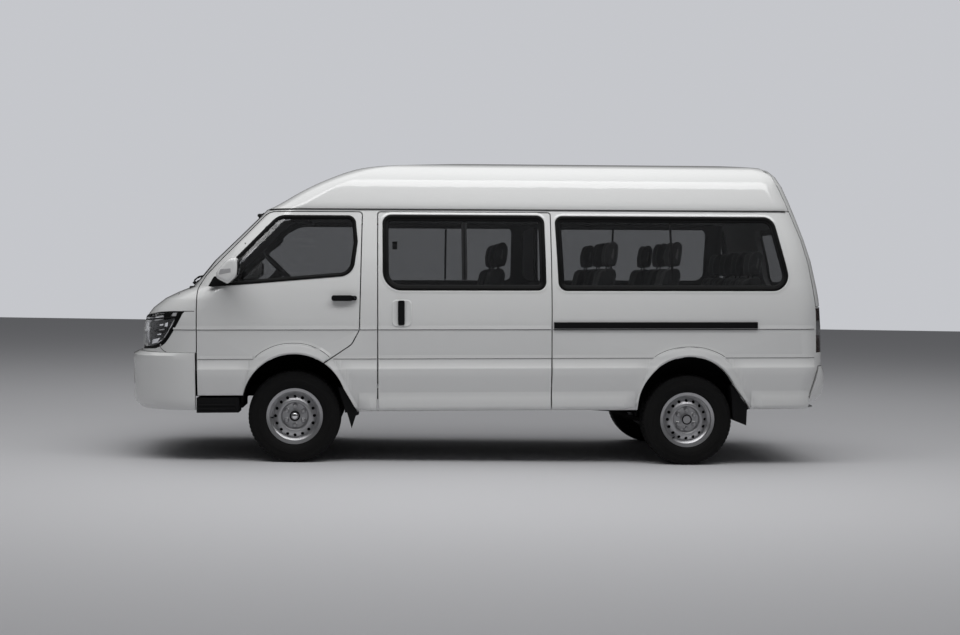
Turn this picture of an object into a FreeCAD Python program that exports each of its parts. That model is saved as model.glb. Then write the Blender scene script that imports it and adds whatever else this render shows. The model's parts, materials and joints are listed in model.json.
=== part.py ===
import FreeCAD, Part
import os
from math import cos, hypot, pi, radians, sin, sqrt, tan
from FreeCAD import Vector

# High-roof minibus, in millimetres. X points rearward, Y to the vehicle's right, Z up.
# The origin is on the floor, under the middle of the overall length.
# Everything sprung is modelled level, with x from the front axle and z from the floor, and then
# tilted nose-down by body_pitch about the front wheels' axis. Wheels and axles stay level.

# ---- overall sizes ----
wheelbase = 2926.0
front_overhang = 1266.0
rear_overhang = 1126.0
body_pitch = 0.8986            # degrees, nose down
roof_top = 2247.0              # top of the roof panel above the floor, before the tilt

# ---- wheels ----
wheel_radius = 340.0           # loaded tyre radius
tyre_width = 195.0
track_half = 702.5             # wheel centre to the middle plane
rim_radius = 190.5             # 15 inch bead seat
rim_flange = 207.8
kingpin_y = 660.0
spindle_radius = 20.0
running_clearance = 0.05

# ---- body shell ----
wall = 50.0                    # full thickness of doors and side walls
panel_gap = 8.0                # shut lines
crown_front = 2400.0           # plan radius of nose and windscreen
crown_rear = 5000.0            # plan radius of the tail
gutter_z = 1860.0
gutter_height = 8.0
glass_thickness = 5.0
glass_setback = 4.0
roof_wall = 28.0
roof_flange = 14.0             # how far in the roof's foot stands from the skin
drip_rail_proud = 7.0
drip_rail_x = (-196.0, 3694.0)
far = 3000.0                   # longer than any cut needs to be

# Waterlines of the lower body, sill to gutter. Columns: height, half width, front, front corner
# radius, rear, rear corner radius. Front and rear are at the middle plane.
body_levels = [
    (370.0, 768.0, -1130.0, 460.0, 3975.0, 200.0),
    (400.0, 790.0, -1140.0, 465.0, 3982.0, 200.0),
    (440.0, 806.0, -1153.0, 472.0, 3992.0, 202.0),
    (560.0, 829.0, -1178.0, 488.0, 4012.0, 206.0),
    (650.0, 843.0, -1192.0, 497.0, 4024.0, 208.0),
    (686.0, 847.5, -1197.5, 500.0, 4029.5, 210.0),      # swage
    (703.0, 843.5, -1197.3, 500.0, 4029.6, 210.0),
    (760.0, 843.0, -1195.0, 500.0, 4028.0, 212.0),
    (771.0, 846.0, -1194.5, 500.0, 4027.7, 212.0),      # lower crease
    (968.0, 844.5, -1184.6, 500.0, 4022.3, 220.0),
    (984.0, 848.0, -1182.5, 500.0, 4021.6, 220.0),      # belt crease
    (1060.0, 846.5, -1166.0, 480.0, 4017.0, 220.0),
    (1130.0, 845.0, -1112.0, 450.0, 4013.0, 220.0),
    (1200.0, 840.0, -1022.0, 400.0, 4006.0, 220.0),
    (1250.0, 836.0, -920.0, 370.0, 3998.0, 220.0),
    (1291.0, 832.0, -816.0, 330.0, 3990.0, 220.0),
    (1486.0, 800.0, -657.0, 290.0, 3951.0, 218.0),
    (1660.0, 757.0, -474.0, 265.0, 3900.0, 216.0),
    (gutter_z, 704.0, -268.0, 240.0, 3829.0, 214.0),
]

# Waterlines of the high roof, with the same columns.
roof_levels = [
    (gutter_z + gutter_height, 700.0, -262.0, 238.0, 3826.0, 214.0),
    (1960.0, 688.0, -88.0, 235.0, 3788.0, 210.0),
    (2060.0, 658.0, 98.0, 230.0, 3746.0, 205.0),
    (2138.0, 606.0, 284.0, 220.0, 3704.0, 195.0),
    (2188.0, 530.0, 445.0, 200.0, 3660.0, 180.0),
    (2217.0, 430.0, 700.0, 180.0, 3610.0, 160.0),
    (2235.0, 310.0, 1000.0, 150.0, 3480.0, 150.0),
    (2244.0, 180.0, 1350.0, 110.0, 3250.0, 110.0),
    (roof_top, 60.0, 1800.0, 50.0, 2900.0, 50.0),
]

# Waterlines of the front bumper and of the rear bumper.
front_bumper_levels = [
    (392.0, 812.0, -1205.0, 470.0, 3900.0, 200.0),
    (431.0, 826.0, -1246.0, 480.0, 3900.0, 200.0),
    (476.0, 833.0, -1262.0, 490.0, 3900.0, 200.0),
    (576.0, 840.0, -1253.0, 500.0, 3900.0, 200.0),
    (687.0, 845.0, -1256.0, 500.0, 3900.0, 200.0),
    (754.0, 846.0, -front_overhang, 505.0, 3900.0, 200.0),
    (787.0, 846.0, -1261.0, 505.0, 3900.0, 200.0),
    (810.0, 846.0, -1216.0, 500.0, 3900.0, 200.0),
]
rear_end = wheelbase + rear_overhang
rear_bumper_levels = [
    (426.0, 800.0, -1100.0, 400.0, rear_end - 62.0, 180.0),
    (470.0, 822.0, -1100.0, 400.0, rear_end - 20.0, 190.0),
    (545.0, 836.0, -1100.0, 400.0, rear_end - 2.0, 200.0),
    (644.0, 843.0, -1100.0, 400.0, rear_end, 210.0),
    (694.0, 843.0, -1100.0, 400.0, rear_end - 18.0, 210.0),
]

# ---- openings, seen from the side: (x, z, corner radius) ----
door_front_x = -705.0
door_top_z = 1848.0
door_bottom_z = 491.0
front_door_outline = [
    (door_front_x, door_bottom_z, 12.0), (-40.0, door_bottom_z, 0.0), (225.0, 735.0, 0.0),
    (421.0, 866.0, 90.0), (479.0, 975.0, 90.0), (500.0, door_top_z, 30.0),
    (-200.0, door_top_z, 120.0), (-655.0, 1375.0, 60.0), (door_front_x, 1290.0, 60.0)]
front_window_outline = [
    (-622.0, 1288.0, 10.0), (-118.0, 1811.0, 120.0), (440.0, 1811.0, 55.0),
    (458.0, 1620.0, 0.0), (424.0, 1376.0, 110.0)]
slide_front_x = 604.0
slide_rear_x = 1896.0
slide_bottom_z = 374.0
slide_door_outline = [
    (slide_front_x, slide_bottom_z, 10.0), (slide_rear_x, slide_bottom_z, 10.0),
    (slide_rear_x, door_top_z, 25.0), (slide_front_x, door_top_z, 25.0)]
mid_window_outline = [
    (648.0, 1816.0, 60.0), (650.0, 1268.0, 135.0), (1846.0, 1268.0, 60.0), (1840.0, 1816.0, 55.0)]
rear_window_outline = [
    (1928.0, 1812.0, 50.0), (1948.0, 1266.0, 60.0), (3700.0, 1266.0, 115.0),
    (3582.0, 1812.0, 90.0)]

# Tail door: its side shut line as (x, z), top to bottom.
tail_line = [(3588.0, 2226.0), (3627.0, 2109.0), (3731.0, 1856.0), (3805.0, 1656.0),
             (3853.0, 1460.0), (3889.0, 1208.0), (3902.0, 1100.0)]
tail_bottom_z = 704.0
tail_hinge = (3600.0, 2193.0)                   # (x, z) of the hinge pins
hinge_radius = 9.0
hinge_y = 300.0
hinge_knuckle_radius = 16.0
hinge_knuckle_length = 60.0
hinge_room = 5.0                                # at a knuckle's ends and outside the relief
hinge_relief = 34.0                             # the roof's rear edge stands this far off the axis
tail_lamp_low = 799.0
tail_lamp_high = 1133.0
tail_lamp_inner_y = 640.0
tail_window = (560.0, 1285.0, 1760.0, 90.0)     # half width, low, high, corner radius
windscreen_low = 1322.0
windscreen_high = 1838.0
windscreen_half = (606.0, 505.0)                # half width at its foot and head
windscreen_corner = 70.0

# Bonnet, grille and headlamps.
bonnet_half = 650.0
bonnet_front_z = 1078.0
bonnet_rear_x = -850.0
bonnet_rear_gap = 12.0
bonnet_hinge = (bonnet_rear_x - bonnet_rear_gap / 2.0, 1270.0)
bonnet_hinge_y = 90.0
lamp_outline = [(-1250.0, 1064.0, 0.0), (-815.0, 1108.0, 12.0), (-930.0, 905.0, 60.0),
                (-1010.0, 836.0, 30.0), (-1250.0, 822.0, 0.0)]
lamp_inner_y = 395.0
lamp_depth = 90.0
grille_low = 850.0
grille_high = 1046.0
grille_bars = 4

# Wheel arches: centre (x, z) and radius of each opening, level body frame.
pitch = radians(body_pitch)
rear_wheel_x = wheelbase * cos(pitch)
rear_wheel_z = wheel_radius - wheelbase * sin(pitch)
arch_radius = 380.0
front_arch = (0.0, 420.0)
rear_arch = (rear_wheel_x, rear_wheel_z + 98.0)
arch_liner = 15.0
arch_inner_y = 300.0                            # the skin's openings are cut from here outward
arch_foot = 80.0                                # an arch's rear leg ends this far below its centre
# Each arch's rear leg: how far back it ends, and where it leaves the round.
front_leg = (478.0, radians(20.0))
rear_leg = (528.0, radians(26.0))
liner_bottom_z = 400.0
front_liner = (392.0, 762.0)                    # inner and outer y
liner_bracket_x = (375.0, 430.0)                # brackets from the rails to the front liners
liner_bracket_y = 470.0
rear_liner = (560.0, 768.0)

# Raised lips round the arches: how far out, how proud, and their legs' half widths.
flare_width = 73.0
flare_proud = 6.0
flare_toe = 24.0               # its width at the foot of the rear leg
flare_legs = (305.0, 398.0)    # from the arch's centre to the shoulder and to the front foot
flare_heights = (350.0, -20.0) # shoulder and foot, above the arch's centre

fit_gap = 0.3                  # between pieces that touch

# Floor.
floor_z = 575.0
floor_thickness = 30.0
sill_lining = 30.0
toe_top = 945.0
seat_platform_z = 862.0
platform_front_x = -440.0
platform_rear_x = 600.0
floor_rear_x = 3900.0
rail_y = 330.0

# Seats: columns back x at the cushion, cushion top z, back top z, y of each seat.
seat_width = 420.0
front_seats = [(430.0, 1090.0, 1640.0, (-400.0, 400.0))]
rear_seats = [
    (1390.0, 985.0, 1640.0, (-230.0, 230.0, 560.0)),
    (2200.0, 985.0, 1640.0, (-540.0, -90.0, 540.0)),
    (2690.0, 985.0, 1640.0, (-540.0, -90.0, 540.0)),
    (3330.0, 985.0, 1570.0, (-540.0, -180.0, 180.0, 540.0)),
]


# ---- helpers ----
def point(plane, a, b, offset):
    if plane == "xz":
        return Vector(a, offset, b)
    if plane == "xy":
        return Vector(a, b, offset)
    return Vector(offset, a, b)


def rounded_wire(corners, plane="xz", offset=0.0):
    # closed polygon of (a, b, corner radius), each corner rounded by an arc
    count = len(corners)
    starts = []
    for i in range(count):
        a, b, r = corners[i]
        here = point(plane, a, b, offset)
        before = point(plane, corners[i - 1][0], corners[i - 1][1], offset)
        after = point(plane, corners[(i + 1) % count][0], corners[(i + 1) % count][1], offset)
        if r <= 0.0:
            starts.append((here, None, here))
            continue
        to_before = (before - here).normalize()
        to_after = (after - here).normalize()
        half = to_before.getAngle(to_after) / 2.0
        reach = r / tan(half)
        bisector = (to_before + to_after).normalize()
        middle = here + bisector * (r / sin(half) - r)
        starts.append((here + to_before * reach, middle, here + to_after * reach))
    edges = []
    for i in range(count):
        begin, middle, end = starts[i]
        if middle is not None:
            edges.append(Part.Arc(begin, middle, end).toShape())
        following = starts[(i + 1) % count][0]
        if (following - end).Length > 1e-6:
            edges.append(Part.LineSegment(end, following).toShape())
    return Part.Wire(edges)


def prism(corners, start, end, plane="xz"):
    direction = {"xz": Vector(0, 1, 0), "xy": Vector(0, 0, 1), "yz": Vector(1, 0, 0)}[plane]
    wire = rounded_wire(corners, plane, start)
    return Part.Face(wire).extrude(direction * (end - start))


def grown(corners, amount, start, end):
    # prism of a side outline, its edge moved outward by amount
    wire = rounded_wire(corners, "xz", start).makeOffset2D(amount)
    return Part.Face(wire).extrude(Vector(0, end - start, 0))


def block(x0, x1, y0, y1, z0, z1):
    return Part.makeBox(x1 - x0, y1 - y0, z1 - z0, Vector(x0, y0, z0))


def both_sides(shape):
    return shape.fuse(mirrored(shape))


def mirrored(shape):
    return shape.mirror(Vector(0, 0, 0), Vector(0, 1, 0))


def rod(start, end, radius):
    axis = end - start
    return Part.makeCylinder(radius, axis.Length, start, axis)


def waterline(z, half_width, front, front_corner, rear, rear_corner):
    # plan outline: crowned nose and tail, rounded corners and straight sides
    edges = []
    ends = {}
    for side, x_end, crown, corner in ((-1, front, crown_front, front_corner),
                                       (1, rear, crown_rear, rear_corner)):
        corner_y = half_width - corner
        crown_x = x_end - side * crown
        corner_x = crown_x + side * sqrt((crown - corner) ** 2 - corner_y ** 2)
        away = Vector(corner_x - crown_x, corner_y, 0).normalize()
        touch = Vector(crown_x, 0, z) + away * crown
        turn = (away + Vector(0, 1, 0)).normalize()
        bend = Vector(corner_x, corner_y, z) + turn * corner
        side_end = Vector(corner_x, half_width, z)
        ends[side] = (Vector(x_end, 0, z), touch, bend, side_end)

    def flip(p):
        return Vector(p.x, -p.y, p.z)

    nose, touch_f, bend_f, side_f = ends[-1]
    tail, touch_r, bend_r, side_r = ends[1]
    edges.append(Part.Arc(flip(touch_f), nose, touch_f).toShape())
    edges.append(Part.Arc(touch_f, bend_f, side_f).toShape())
    edges.append(Part.LineSegment(side_f, side_r).toShape())
    edges.append(Part.Arc(side_r, bend_r, touch_r).toShape())
    edges.append(Part.Arc(touch_r, tail, flip(touch_r)).toShape())
    edges.append(Part.Arc(flip(touch_r), flip(bend_r), flip(side_r)).toShape())
    edges.append(Part.LineSegment(flip(side_r), flip(side_f)).toShape())
    edges.append(Part.Arc(flip(side_f), flip(bend_f), flip(touch_f)).toShape())
    return Part.Wire(edges)


def hull(levels, inset=0.0, drop=0.0, ruled=True):
    # solid through the waterlines, its skin moved inward by inset square to itself
    wires = []
    last = len(levels) - 1
    for i, (z, half_width, front, front_corner, rear, rear_corner) in enumerate(levels):
        low = levels[max(i - 1, 0)]
        high = levels[min(i + 1, last)]
        rise = high[0] - low[0]
        front_lean = hypot(1.0, (high[2] - low[2]) / rise)
        rear_lean = hypot(1.0, (high[4] - low[4]) / rise)
        wires.append(waterline(
            z - drop, half_width - inset, front + inset * min(front_lean, 1.8),
            max(front_corner - inset, 30.0), rear - inset * min(rear_lean, 1.8),
            max(rear_corner - inset, 30.0)))
    return Part.makeLoft(wires, True, ruled)


def largest(shape):
    return max(shape.Solids, key=lambda solid: solid.Volume)


def place(shape):
    # from the level body frame to the stance on the floor
    moved = shape.copy()
    moved.rotate(Vector(0, 0, wheel_radius), Vector(0, 1, 0), -body_pitch)
    moved.translate(Vector(front_axle_x, 0, 0))
    return moved


front_axle_x = front_overhang - (front_overhang + wheelbase + rear_overhang) / 2.0
nodes = {}


# ---- body shell and its regions ----
outer = hull(body_levels)
inner = hull(body_levels, wall)
shell = outer.cut(inner)
glass_outer = hull(body_levels, glass_setback)
glass_inner = hull(body_levels, glass_setback + glass_thickness)
glass_skin = glass_outer.cut(glass_inner)


def arch_prism(centre, radius, y0, y1):
    # round top, upright sides down past the sill
    x, z = centre
    corners = [(x - radius, z - 500.0, 0.0), (x + radius, z - 500.0, 0.0),
               (x + radius, z + radius, radius * 0.999), (x - radius, z + radius, radius * 0.999)]
    return prism(corners, y0, y1)


def arch_opening(centre, leg, margin=0.0):
    # an arch in the body's skin, with its rear leg splayed, grown by a margin
    x, z = centre
    splay, turn = leg
    radius = arch_radius + margin
    foot = prism([(x, z - arch_foot, 0.0), (x + splay + margin, z - arch_foot, 0.0),
                  (x + radius * cos(turn), z + radius * sin(turn), 0.0), (x, z, 0.0)],
                 arch_inner_y, far)
    return both_sides(arch_prism(centre, radius, arch_inner_y, far).fuse(foot))


arch_cut = arch_opening(front_arch, front_leg).fuse(arch_opening(rear_arch, rear_leg))


def make_flares():
    # all four lips, as a thin layer on the body's skin
    layer = hull(body_levels, -flare_proud).cut(hull(body_levels, 4.0))
    (top, foot), (high, low) = flare_legs, flare_heights
    lips = []
    for centre, leg in ((front_arch, front_leg), (rear_arch, rear_leg)):
        x, z = centre
        outline = prism([(x - foot, z + low, 0.0), (x - top, z + high, 0.0), (x - top, z + 600.0, 0.0),
                         (x + top, z + 600.0, 0.0), (x + top, z + high, 0.0),
                         (x + leg[0] + flare_toe, z - arch_foot, 0.0), (x, z - arch_foot, 0.0),
                         (x, z + low, 0.0)], arch_inner_y, far)
        lips.append(arch_opening(centre, leg, flare_width).common(both_sides(outline)))
    return layer.common(lips[0].fuse(lips[1])).cut(arch_cut)


flares = make_flares()


def front_region():
    # everything ahead of the front doors' leading edges
    edge = [(door_front_x, 0.0, 0.0), (door_front_x, 1290.0, 60.0), (-655.0, 1375.0, 60.0),
            (-200.0, door_top_z, 0.0), (-180.0, 1900.0, 0.0), (-2000.0, 1900.0, 0.0),
            (-2000.0, 0.0, 0.0)]
    return prism(edge, -far, far)


front_block = front_region()


def windscreen_prism():
    # cut along X through the screen: a rounded trapezium
    foot, head = windscreen_half
    r = windscreen_corner
    corners = [(-foot, windscreen_low, r), (foot, windscreen_low, r),
               (head, windscreen_high, r), (-head, windscreen_high, r)]
    return prism(corners, -1100.0, 60.0, "yz")


screen_cut = windscreen_prism()


def tail_region(gap):
    # everything behind the tail door's shut line, moved back by gap
    corners = [(x + gap, z, 0.0) for x, z in tail_line]
    x_low = tail_line[-1][0] + gap
    corners += [(x_low, 300.0, 0.0), (4400.0, 300.0, 0.0), (4400.0, 2500.0, 0.0),
                (tail_line[0][0] + gap - 10.0, 2500.0, 0.0)]
    return prism(corners, -far, far)


def tail_door_region(gap):
    # the region less the lamp corners and what lies under the door
    region = tail_region(gap)
    side = block(3500.0, 4500.0, tail_lamp_inner_y - gap, far, 0.0, tail_lamp_high + gap + 6.0)
    region = region.cut(side).cut(mirrored(side))
    return region.cut(block(3500.0, 4500.0, -far, far, 0.0, tail_bottom_z + gap))


bumper_top = front_bumper_levels[-1][0]
lamp_cut = prism(lamp_outline, lamp_inner_y, far)
lamp_cuts = both_sides(lamp_cut)
bonnet_cut = block(-1400.0, bonnet_rear_x, -bonnet_half, bonnet_half, bonnet_front_z, 1500.0)
grille_cut = block(-1400.0, -1000.0, -lamp_inner_y + 12.0, lamp_inner_y - 12.0,
                   grille_low, grille_high)


def hinge_pins(axis, y, radius, length):
    # a pair of pins along Y at (x, z), each centred at y
    pin = rod(Vector(axis[0], y - length / 2.0, axis[1]),
              Vector(axis[0], y + length / 2.0, axis[1]), radius)
    return both_sides(pin)


def make_front_body():
    panel = shell.common(front_block)
    panel = panel.cut(block(-1400.0, door_front_x, -far, far, 0.0, bumper_top + 2.0))
    panel = panel.cut(screen_cut).cut(lamp_cuts).cut(grille_cut)
    panel = panel.cut(bonnet_cut).cut(hinge_pins(bonnet_hinge, bonnet_hinge_y, 7.0 + fit_gap, 61.0))
    return largest(panel)


def make_bonnet():
    gap = panel_gap
    lid = shell.common(block(-1400.0, bonnet_rear_x - bonnet_rear_gap, gap - bonnet_half,
                             bonnet_half - gap, bonnet_front_z + gap, 1500.0))
    return largest(largest(lid).fuse(hinge_pins(bonnet_hinge, bonnet_hinge_y, 7.0, 60.0)))


def half_space(right):
    half = block(-1500.0, 4500.0, 0.0, far, 0.0, 2600.0)
    return half if right else mirrored(half)


def y_span(right):
    return (300.0, 1200.0) if right else (-1200.0, -300.0)


tail_lamp_box = block(3500.0, 4500.0, tail_lamp_inner_y, far, tail_lamp_low, tail_lamp_high)
rear_bumper_line = [(3826.0, 380.0), (3921.0, 700.0)]


def rear_bumper_region(gap):
    (x_low, z_low), (x_high, z_high) = rear_bumper_line
    return prism([(x_low + gap, z_low, 0.0), (4400.0, z_low, 0.0), (4400.0, z_high - gap, 0.0),
                  (x_high + gap, z_high - gap, 0.0)], -far, far)


def make_side(right):
    panel = shell.common(half_space(right)).cut(front_block)
    panel = panel.cut(both_sides(prism(front_door_outline, 300.0, 1200.0))).cut(arch_cut)
    panel = panel.cut(tail_door_region(0.0)).cut(rear_bumper_region(0.0))
    panel = panel.cut(both_sides(tail_lamp_box.common(tail_region(0.0))))
    y0, y1 = y_span(right)
    if right:
        panel = panel.cut(prism(mid_window_outline, y0, y1))
    else:
        panel = panel.cut(prism(slide_door_outline, y0, y1))
    panel = panel.cut(prism(rear_window_outline, y0, y1))
    panel = panel.cut(block(-1500.0, 0.0, -far, far, 0.0, door_bottom_z))
    rail = block(-120.0, 3560.0, 560.0, 700.0, 1810.0, gutter_z).common(inner_less(0.0, 45.0))
    sill = block(platform_rear_x, 3700.0, 640.0, 800.0, floor_z - floor_thickness, floor_z)
    sill = sill.common(inner_less(0.0, sill_lining)).cut(
        arch_prism(rear_arch, arch_radius + arch_liner, 300.0, 1200.0))
    lining = rail.fuse(sill)
    if not right:
        lining = mirrored(lining)
    lips = flares.common(half_space(right)).cut(both_sides(prism(front_door_outline, 300.0, 1200.0)))
    return largest(panel.fuse(lining).fuse(lips.cut(front_block)))


def inner_less(start, thickness):
    # a lining on the inside of the wall
    return hull(body_levels, wall + start).cut(hull(body_levels, wall + start + thickness))


def make_front_door(right):
    y0, y1 = y_span(right)
    skin = shell.cut(hull(body_levels, 14.0))
    leaf = shell.common(grown(front_door_outline, -panel_gap, y0, y1))
    core = leaf.cut(skin.common(leaf)).common(grown(front_door_outline, -panel_gap - 14.0, y0, y1))
    lips = flares.common(grown(front_door_outline, -panel_gap, y0, y1))
    door = leaf.common(skin).fuse(core).fuse(lips)
    door = door.cut(arch_cut).cut(prism(front_window_outline, y0, y1))
    return largest(door)


def make_slide_door():
    y0, y1 = y_span(False)
    door = shell.common(grown(slide_door_outline, -panel_gap, y0, y1))
    return largest(door.cut(prism(mid_window_outline, y0, y1)))


def make_tail_door():
    door = tail_shell.common(tail_door_region(panel_gap))
    door = door.cut(tail_window_prism())
    notch = hinge_knuckle_length + 2.0 * hinge_room
    door = door.cut(hinge_pins(tail_hinge, hinge_y, hinge_relief + hinge_room, notch))
    return largest(largest(door).fuse(hinge_pins(tail_hinge, hinge_y, hinge_radius, notch + 20.0)))


def tail_window_prism():
    half, low, high, r = tail_window
    corners = [(-half, low, r), (half, low, r), (half - 60.0, high, r), (-half + 60.0, high, r)]
    return prism(corners, 3500.0, 4400.0, "yz")


tail_levels = body_levels + roof_levels[1:]
tail_shell = hull(tail_levels).cut(hull(tail_levels, wall, 0.0))


def make_roof():
    skin = hull(roof_levels, 0.0, 0.0, False)
    room = hull(roof_levels, roof_wall, roof_wall, False)
    roof = skin.cut(room)
    flange = hull([body_levels[-1], roof_levels[0]], roof_flange)
    flange = flange.cut(hull([body_levels[-1], roof_levels[0]], wall))
    roof = roof.fuse(flange)
    roof = roof.cut(tail_region(0.0))
    x, z = tail_hinge
    roof = roof.cut(rod(Vector(x, -far, z), Vector(x, far, z), hinge_relief))
    knuckles = hinge_pins(tail_hinge, hinge_y, hinge_knuckle_radius, hinge_knuckle_length)
    half = hinge_knuckle_length / 2.0
    arm = block(x - 2.0 * hinge_relief, x, hinge_y - half, hinge_y + half, z - hinge_radius, z + 8.0)
    roof = roof.fuse(knuckles).fuse(both_sides(arm))
    return largest(roof.cut(hinge_pins(tail_hinge, hinge_y, hinge_radius + fit_gap, far / 10.0)))


def make_drip_rails(roof_shape):
    # rain gutters in the seam under the roof
    seam = [body_levels[-1], roof_levels[0]]
    seam = [(seam[0][0] + fit_gap, *seam[0][1:]), (seam[1][0] - fit_gap, *seam[1][1:])]
    band = hull(seam, -drip_rail_proud).cut(hull(seam, roof_flange - fit_gap))
    right = largest(band.common(block(drip_rail_x[0], drip_rail_x[1], 300.0, far, 0.0, far)))
    right = largest(right.cut(roof_shape))
    return Part.makeCompound([right, mirrored(right)])


def bumper(levels, region, thickness):
    cover = hull(levels).cut(hull(levels, thickness))
    return largest(cover.common(region))


def make_front_bumper():
    region = block(-2000.0, door_front_x - panel_gap, -far, far, 0.0, bumper_top)
    return bumper(front_bumper_levels, region, 40.0)


def make_rear_bumper():
    return bumper(rear_bumper_levels, rear_bumper_region(panel_gap), 45.0)


def make_lamps():
    depth = hull(body_levels, 1.0).cut(hull(body_levels, lamp_depth))
    outline = grown(lamp_outline, -fit_gap, lamp_inner_y + fit_gap, far)
    lid = block(-1400.0, bonnet_rear_x, 0.0, bonnet_half + 4.0, bonnet_front_z - 4.0, 1500.0)
    lamp = largest(depth.common(outline).common(front_block).cut(lid))
    return Part.makeCompound([lamp, mirrored(lamp)])


def make_tail_lamps():
    box = block(3500.0, 4500.0, tail_lamp_inner_y, far, tail_lamp_low + fit_gap,
                tail_lamp_high - fit_gap)
    lamp = largest(shell.common(box).common(tail_region(fit_gap)))
    return Part.makeCompound([lamp, mirrored(lamp)])


def make_grille():
    half = lamp_inner_y - 12.0
    back = hull(body_levels, 46.0).cut(hull(body_levels, 62.0))
    grille = back.common(block(-1400.0, -1000.0, -half, half, grille_low, grille_high))
    pitch_z = (grille_high - grille_low) / grille_bars
    for i in range(grille_bars):
        z = grille_low + pitch_z * (i + 0.5)
        bar = block(-1400.0, -1000.0, -half, half, z - 13.0, z + 13.0)
        grille = grille.fuse(hull(body_levels, 8.0).cut(hull(body_levels, 50.0)).common(bar))
    return largest(grille)


def pane(opening):
    return largest(glass_skin.common(opening))


def make_windscreen():
    return pane(screen_cut)


def make_tail_glass():
    skin = hull(tail_levels, glass_setback).cut(hull(tail_levels, glass_setback + glass_thickness))
    return largest(skin.common(tail_window_prism()).common(tail_door_region(panel_gap)))


def make_floor():
    y_cab = 752.0
    t = floor_thickness
    low = floor_z - t
    top = seat_platform_z
    thin = 18.0
    floor = block(-1040.0, platform_front_x, -y_cab, y_cab, low, floor_z)
    parts = [
        block(-1040.0, -1040.0 + thin, -y_cab, y_cab, low, 790.0),
        block(-1040.0, -1040.0 + thin, 10.0 - lamp_inner_y, lamp_inner_y - 10.0, 790.0, toe_top - fit_gap),
        block(platform_front_x - thin, platform_front_x, -y_cab, y_cab, low, top),
        block(platform_front_x - thin, platform_rear_x, -y_cab, y_cab, top - thin, top),
        block(platform_rear_x - thin, platform_rear_x, -y_cab, y_cab, low, top),
        block(platform_rear_x - thin, floor_rear_x, -800.0, 800.0, low, floor_z),
        both_sides(block(-1040.0, 1990.0, rail_y - 30.0, rail_y + 30.0, rail_bottom, low)),
        both_sides(block(1900.0, 1990.0, rail_y, rear_rail_y, rail_bottom, low)),
        both_sides(block(1900.0, floor_rear_x, rear_rail_y - 30.0, rear_rail_y + 30.0,
                         rail_bottom, low)),
        both_sides(block(-liner_bracket_x[1], -liner_bracket_x[0], rail_y, liner_bracket_y,
                         rail_bottom, low)),
        both_sides(block(liner_bracket_x[0], liner_bracket_x[1], rail_y, liner_bracket_y,
                         rail_bottom, low)),
    ]
    for piece in parts:
        floor = floor.fuse(piece)
    floor = floor.common(hull(body_levels, wall + sill_lining))
    floor = floor.cut(both_sides(arch_prism(front_arch, arch_radius + arch_liner, front_liner[0],
                                            front_liner[1] + 50.0)))
    floor = floor.cut(both_sides(arch_prism(rear_arch, arch_radius + arch_liner, rear_liner[0],
                                            rear_liner[1] + 50.0)))
    return largest(floor)


def make_arch_liners():
    liners = []
    for centre, (y0, y1), closed in ((front_arch, front_liner, False), (rear_arch, rear_liner, True)):
        liner = arch_prism(centre, arch_radius + arch_liner - 0.5, y0 + 0.5, y1)
        bore_start = y0 + (arch_liner if closed else -1.0)
        liner = liner.cut(arch_prism(centre, arch_radius, bore_start, y1 + 1.0))
        liner = liner.cut(block(-far, 2.0 * far, -far, far, -far, liner_bottom_z))
        liner = liner.common(inner)
        liners += [largest(liner), mirrored(largest(liner))]
    return Part.makeCompound(liners)


# ---- cabin ----
def make_dashboard():
    section = [(-1035.0, toe_top, 0.0), (-560.0, toe_top, 40.0), (-470.0, 1080.0, 40.0),
               (-500.0, 1225.0, 40.0), (-640.0, 1290.0, 40.0), (-790.0, 1275.0, 0.0)]
    dash = prism(section, -690.0, 690.0)
    return largest(dash.common(hull(body_levels, lamp_depth + 12.0)))


def seat(x, cushion_top, back_top, base_z, inboard_side):
    half = seat_width / 2.0
    cushion = prism([(x - 430.0, cushion_top - 120.0, 30.0), (x + 20.0, cushion_top - 120.0, 30.0),
                     (x + 20.0, cushion_top, 30.0), (x - 430.0, cushion_top, 45.0)], -half, half)
    lean = 0.26
    rise = back_top - 190.0 - cushion_top
    back = prism([(x - 20.0, cushion_top - 60.0, 20.0), (x + 85.0, cushion_top - 60.0, 30.0),
                  (x + 75.0 + lean * rise, cushion_top + rise, 30.0),
                  (x - 10.0 + lean * rise, cushion_top + rise, 30.0)], -half, half)
    x_head = x + lean * rise + 5.0
    head = prism([(x_head, back_top - 195.0, 20.0), (x_head + 75.0, back_top - 195.0, 20.0),
                  (x_head + 100.0, back_top, 35.0), (x_head + 20.0, back_top, 35.0)], -130.0, 130.0)
    inboard = -inboard_side * 110.0
    leg = block(x - 380.0, x - 20.0, inboard - 45.0, inboard + 45.0, base_z, cushion_top - 110.0)
    return cushion.fuse(back).fuse(head).fuse(leg)


def make_seats(rows, base_z):
    seats = []
    for x, cushion_top, back_top, places in rows:
        for y in places:
            inboard_side = (y > 500.0) - (y < -500.0)
            one = seat(x, cushion_top, back_top, base_z, inboard_side)
            one.translate(Vector(0, y, 0))
            seats.append(one)
    return Part.makeCompound(seats)


def torus_along(centre, axis, big, small):
    return Part.makeTorus(big, small, centre, axis)


steering_centre = Vector(-182.0, 400.0, 1415.0)
steering_tilt = radians(45.0)
steering_axis = Vector(cos(steering_tilt), 0.0, sin(steering_tilt))
steering_radius = 192.0
column_radius = 32.0
column_length = 445.0          # from the wheel's middle to inside the dashboard


def make_column():
    start = steering_centre - steering_axis * column_length
    end = steering_centre - steering_axis * 45.3
    return rod(start, end, column_radius)


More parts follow.
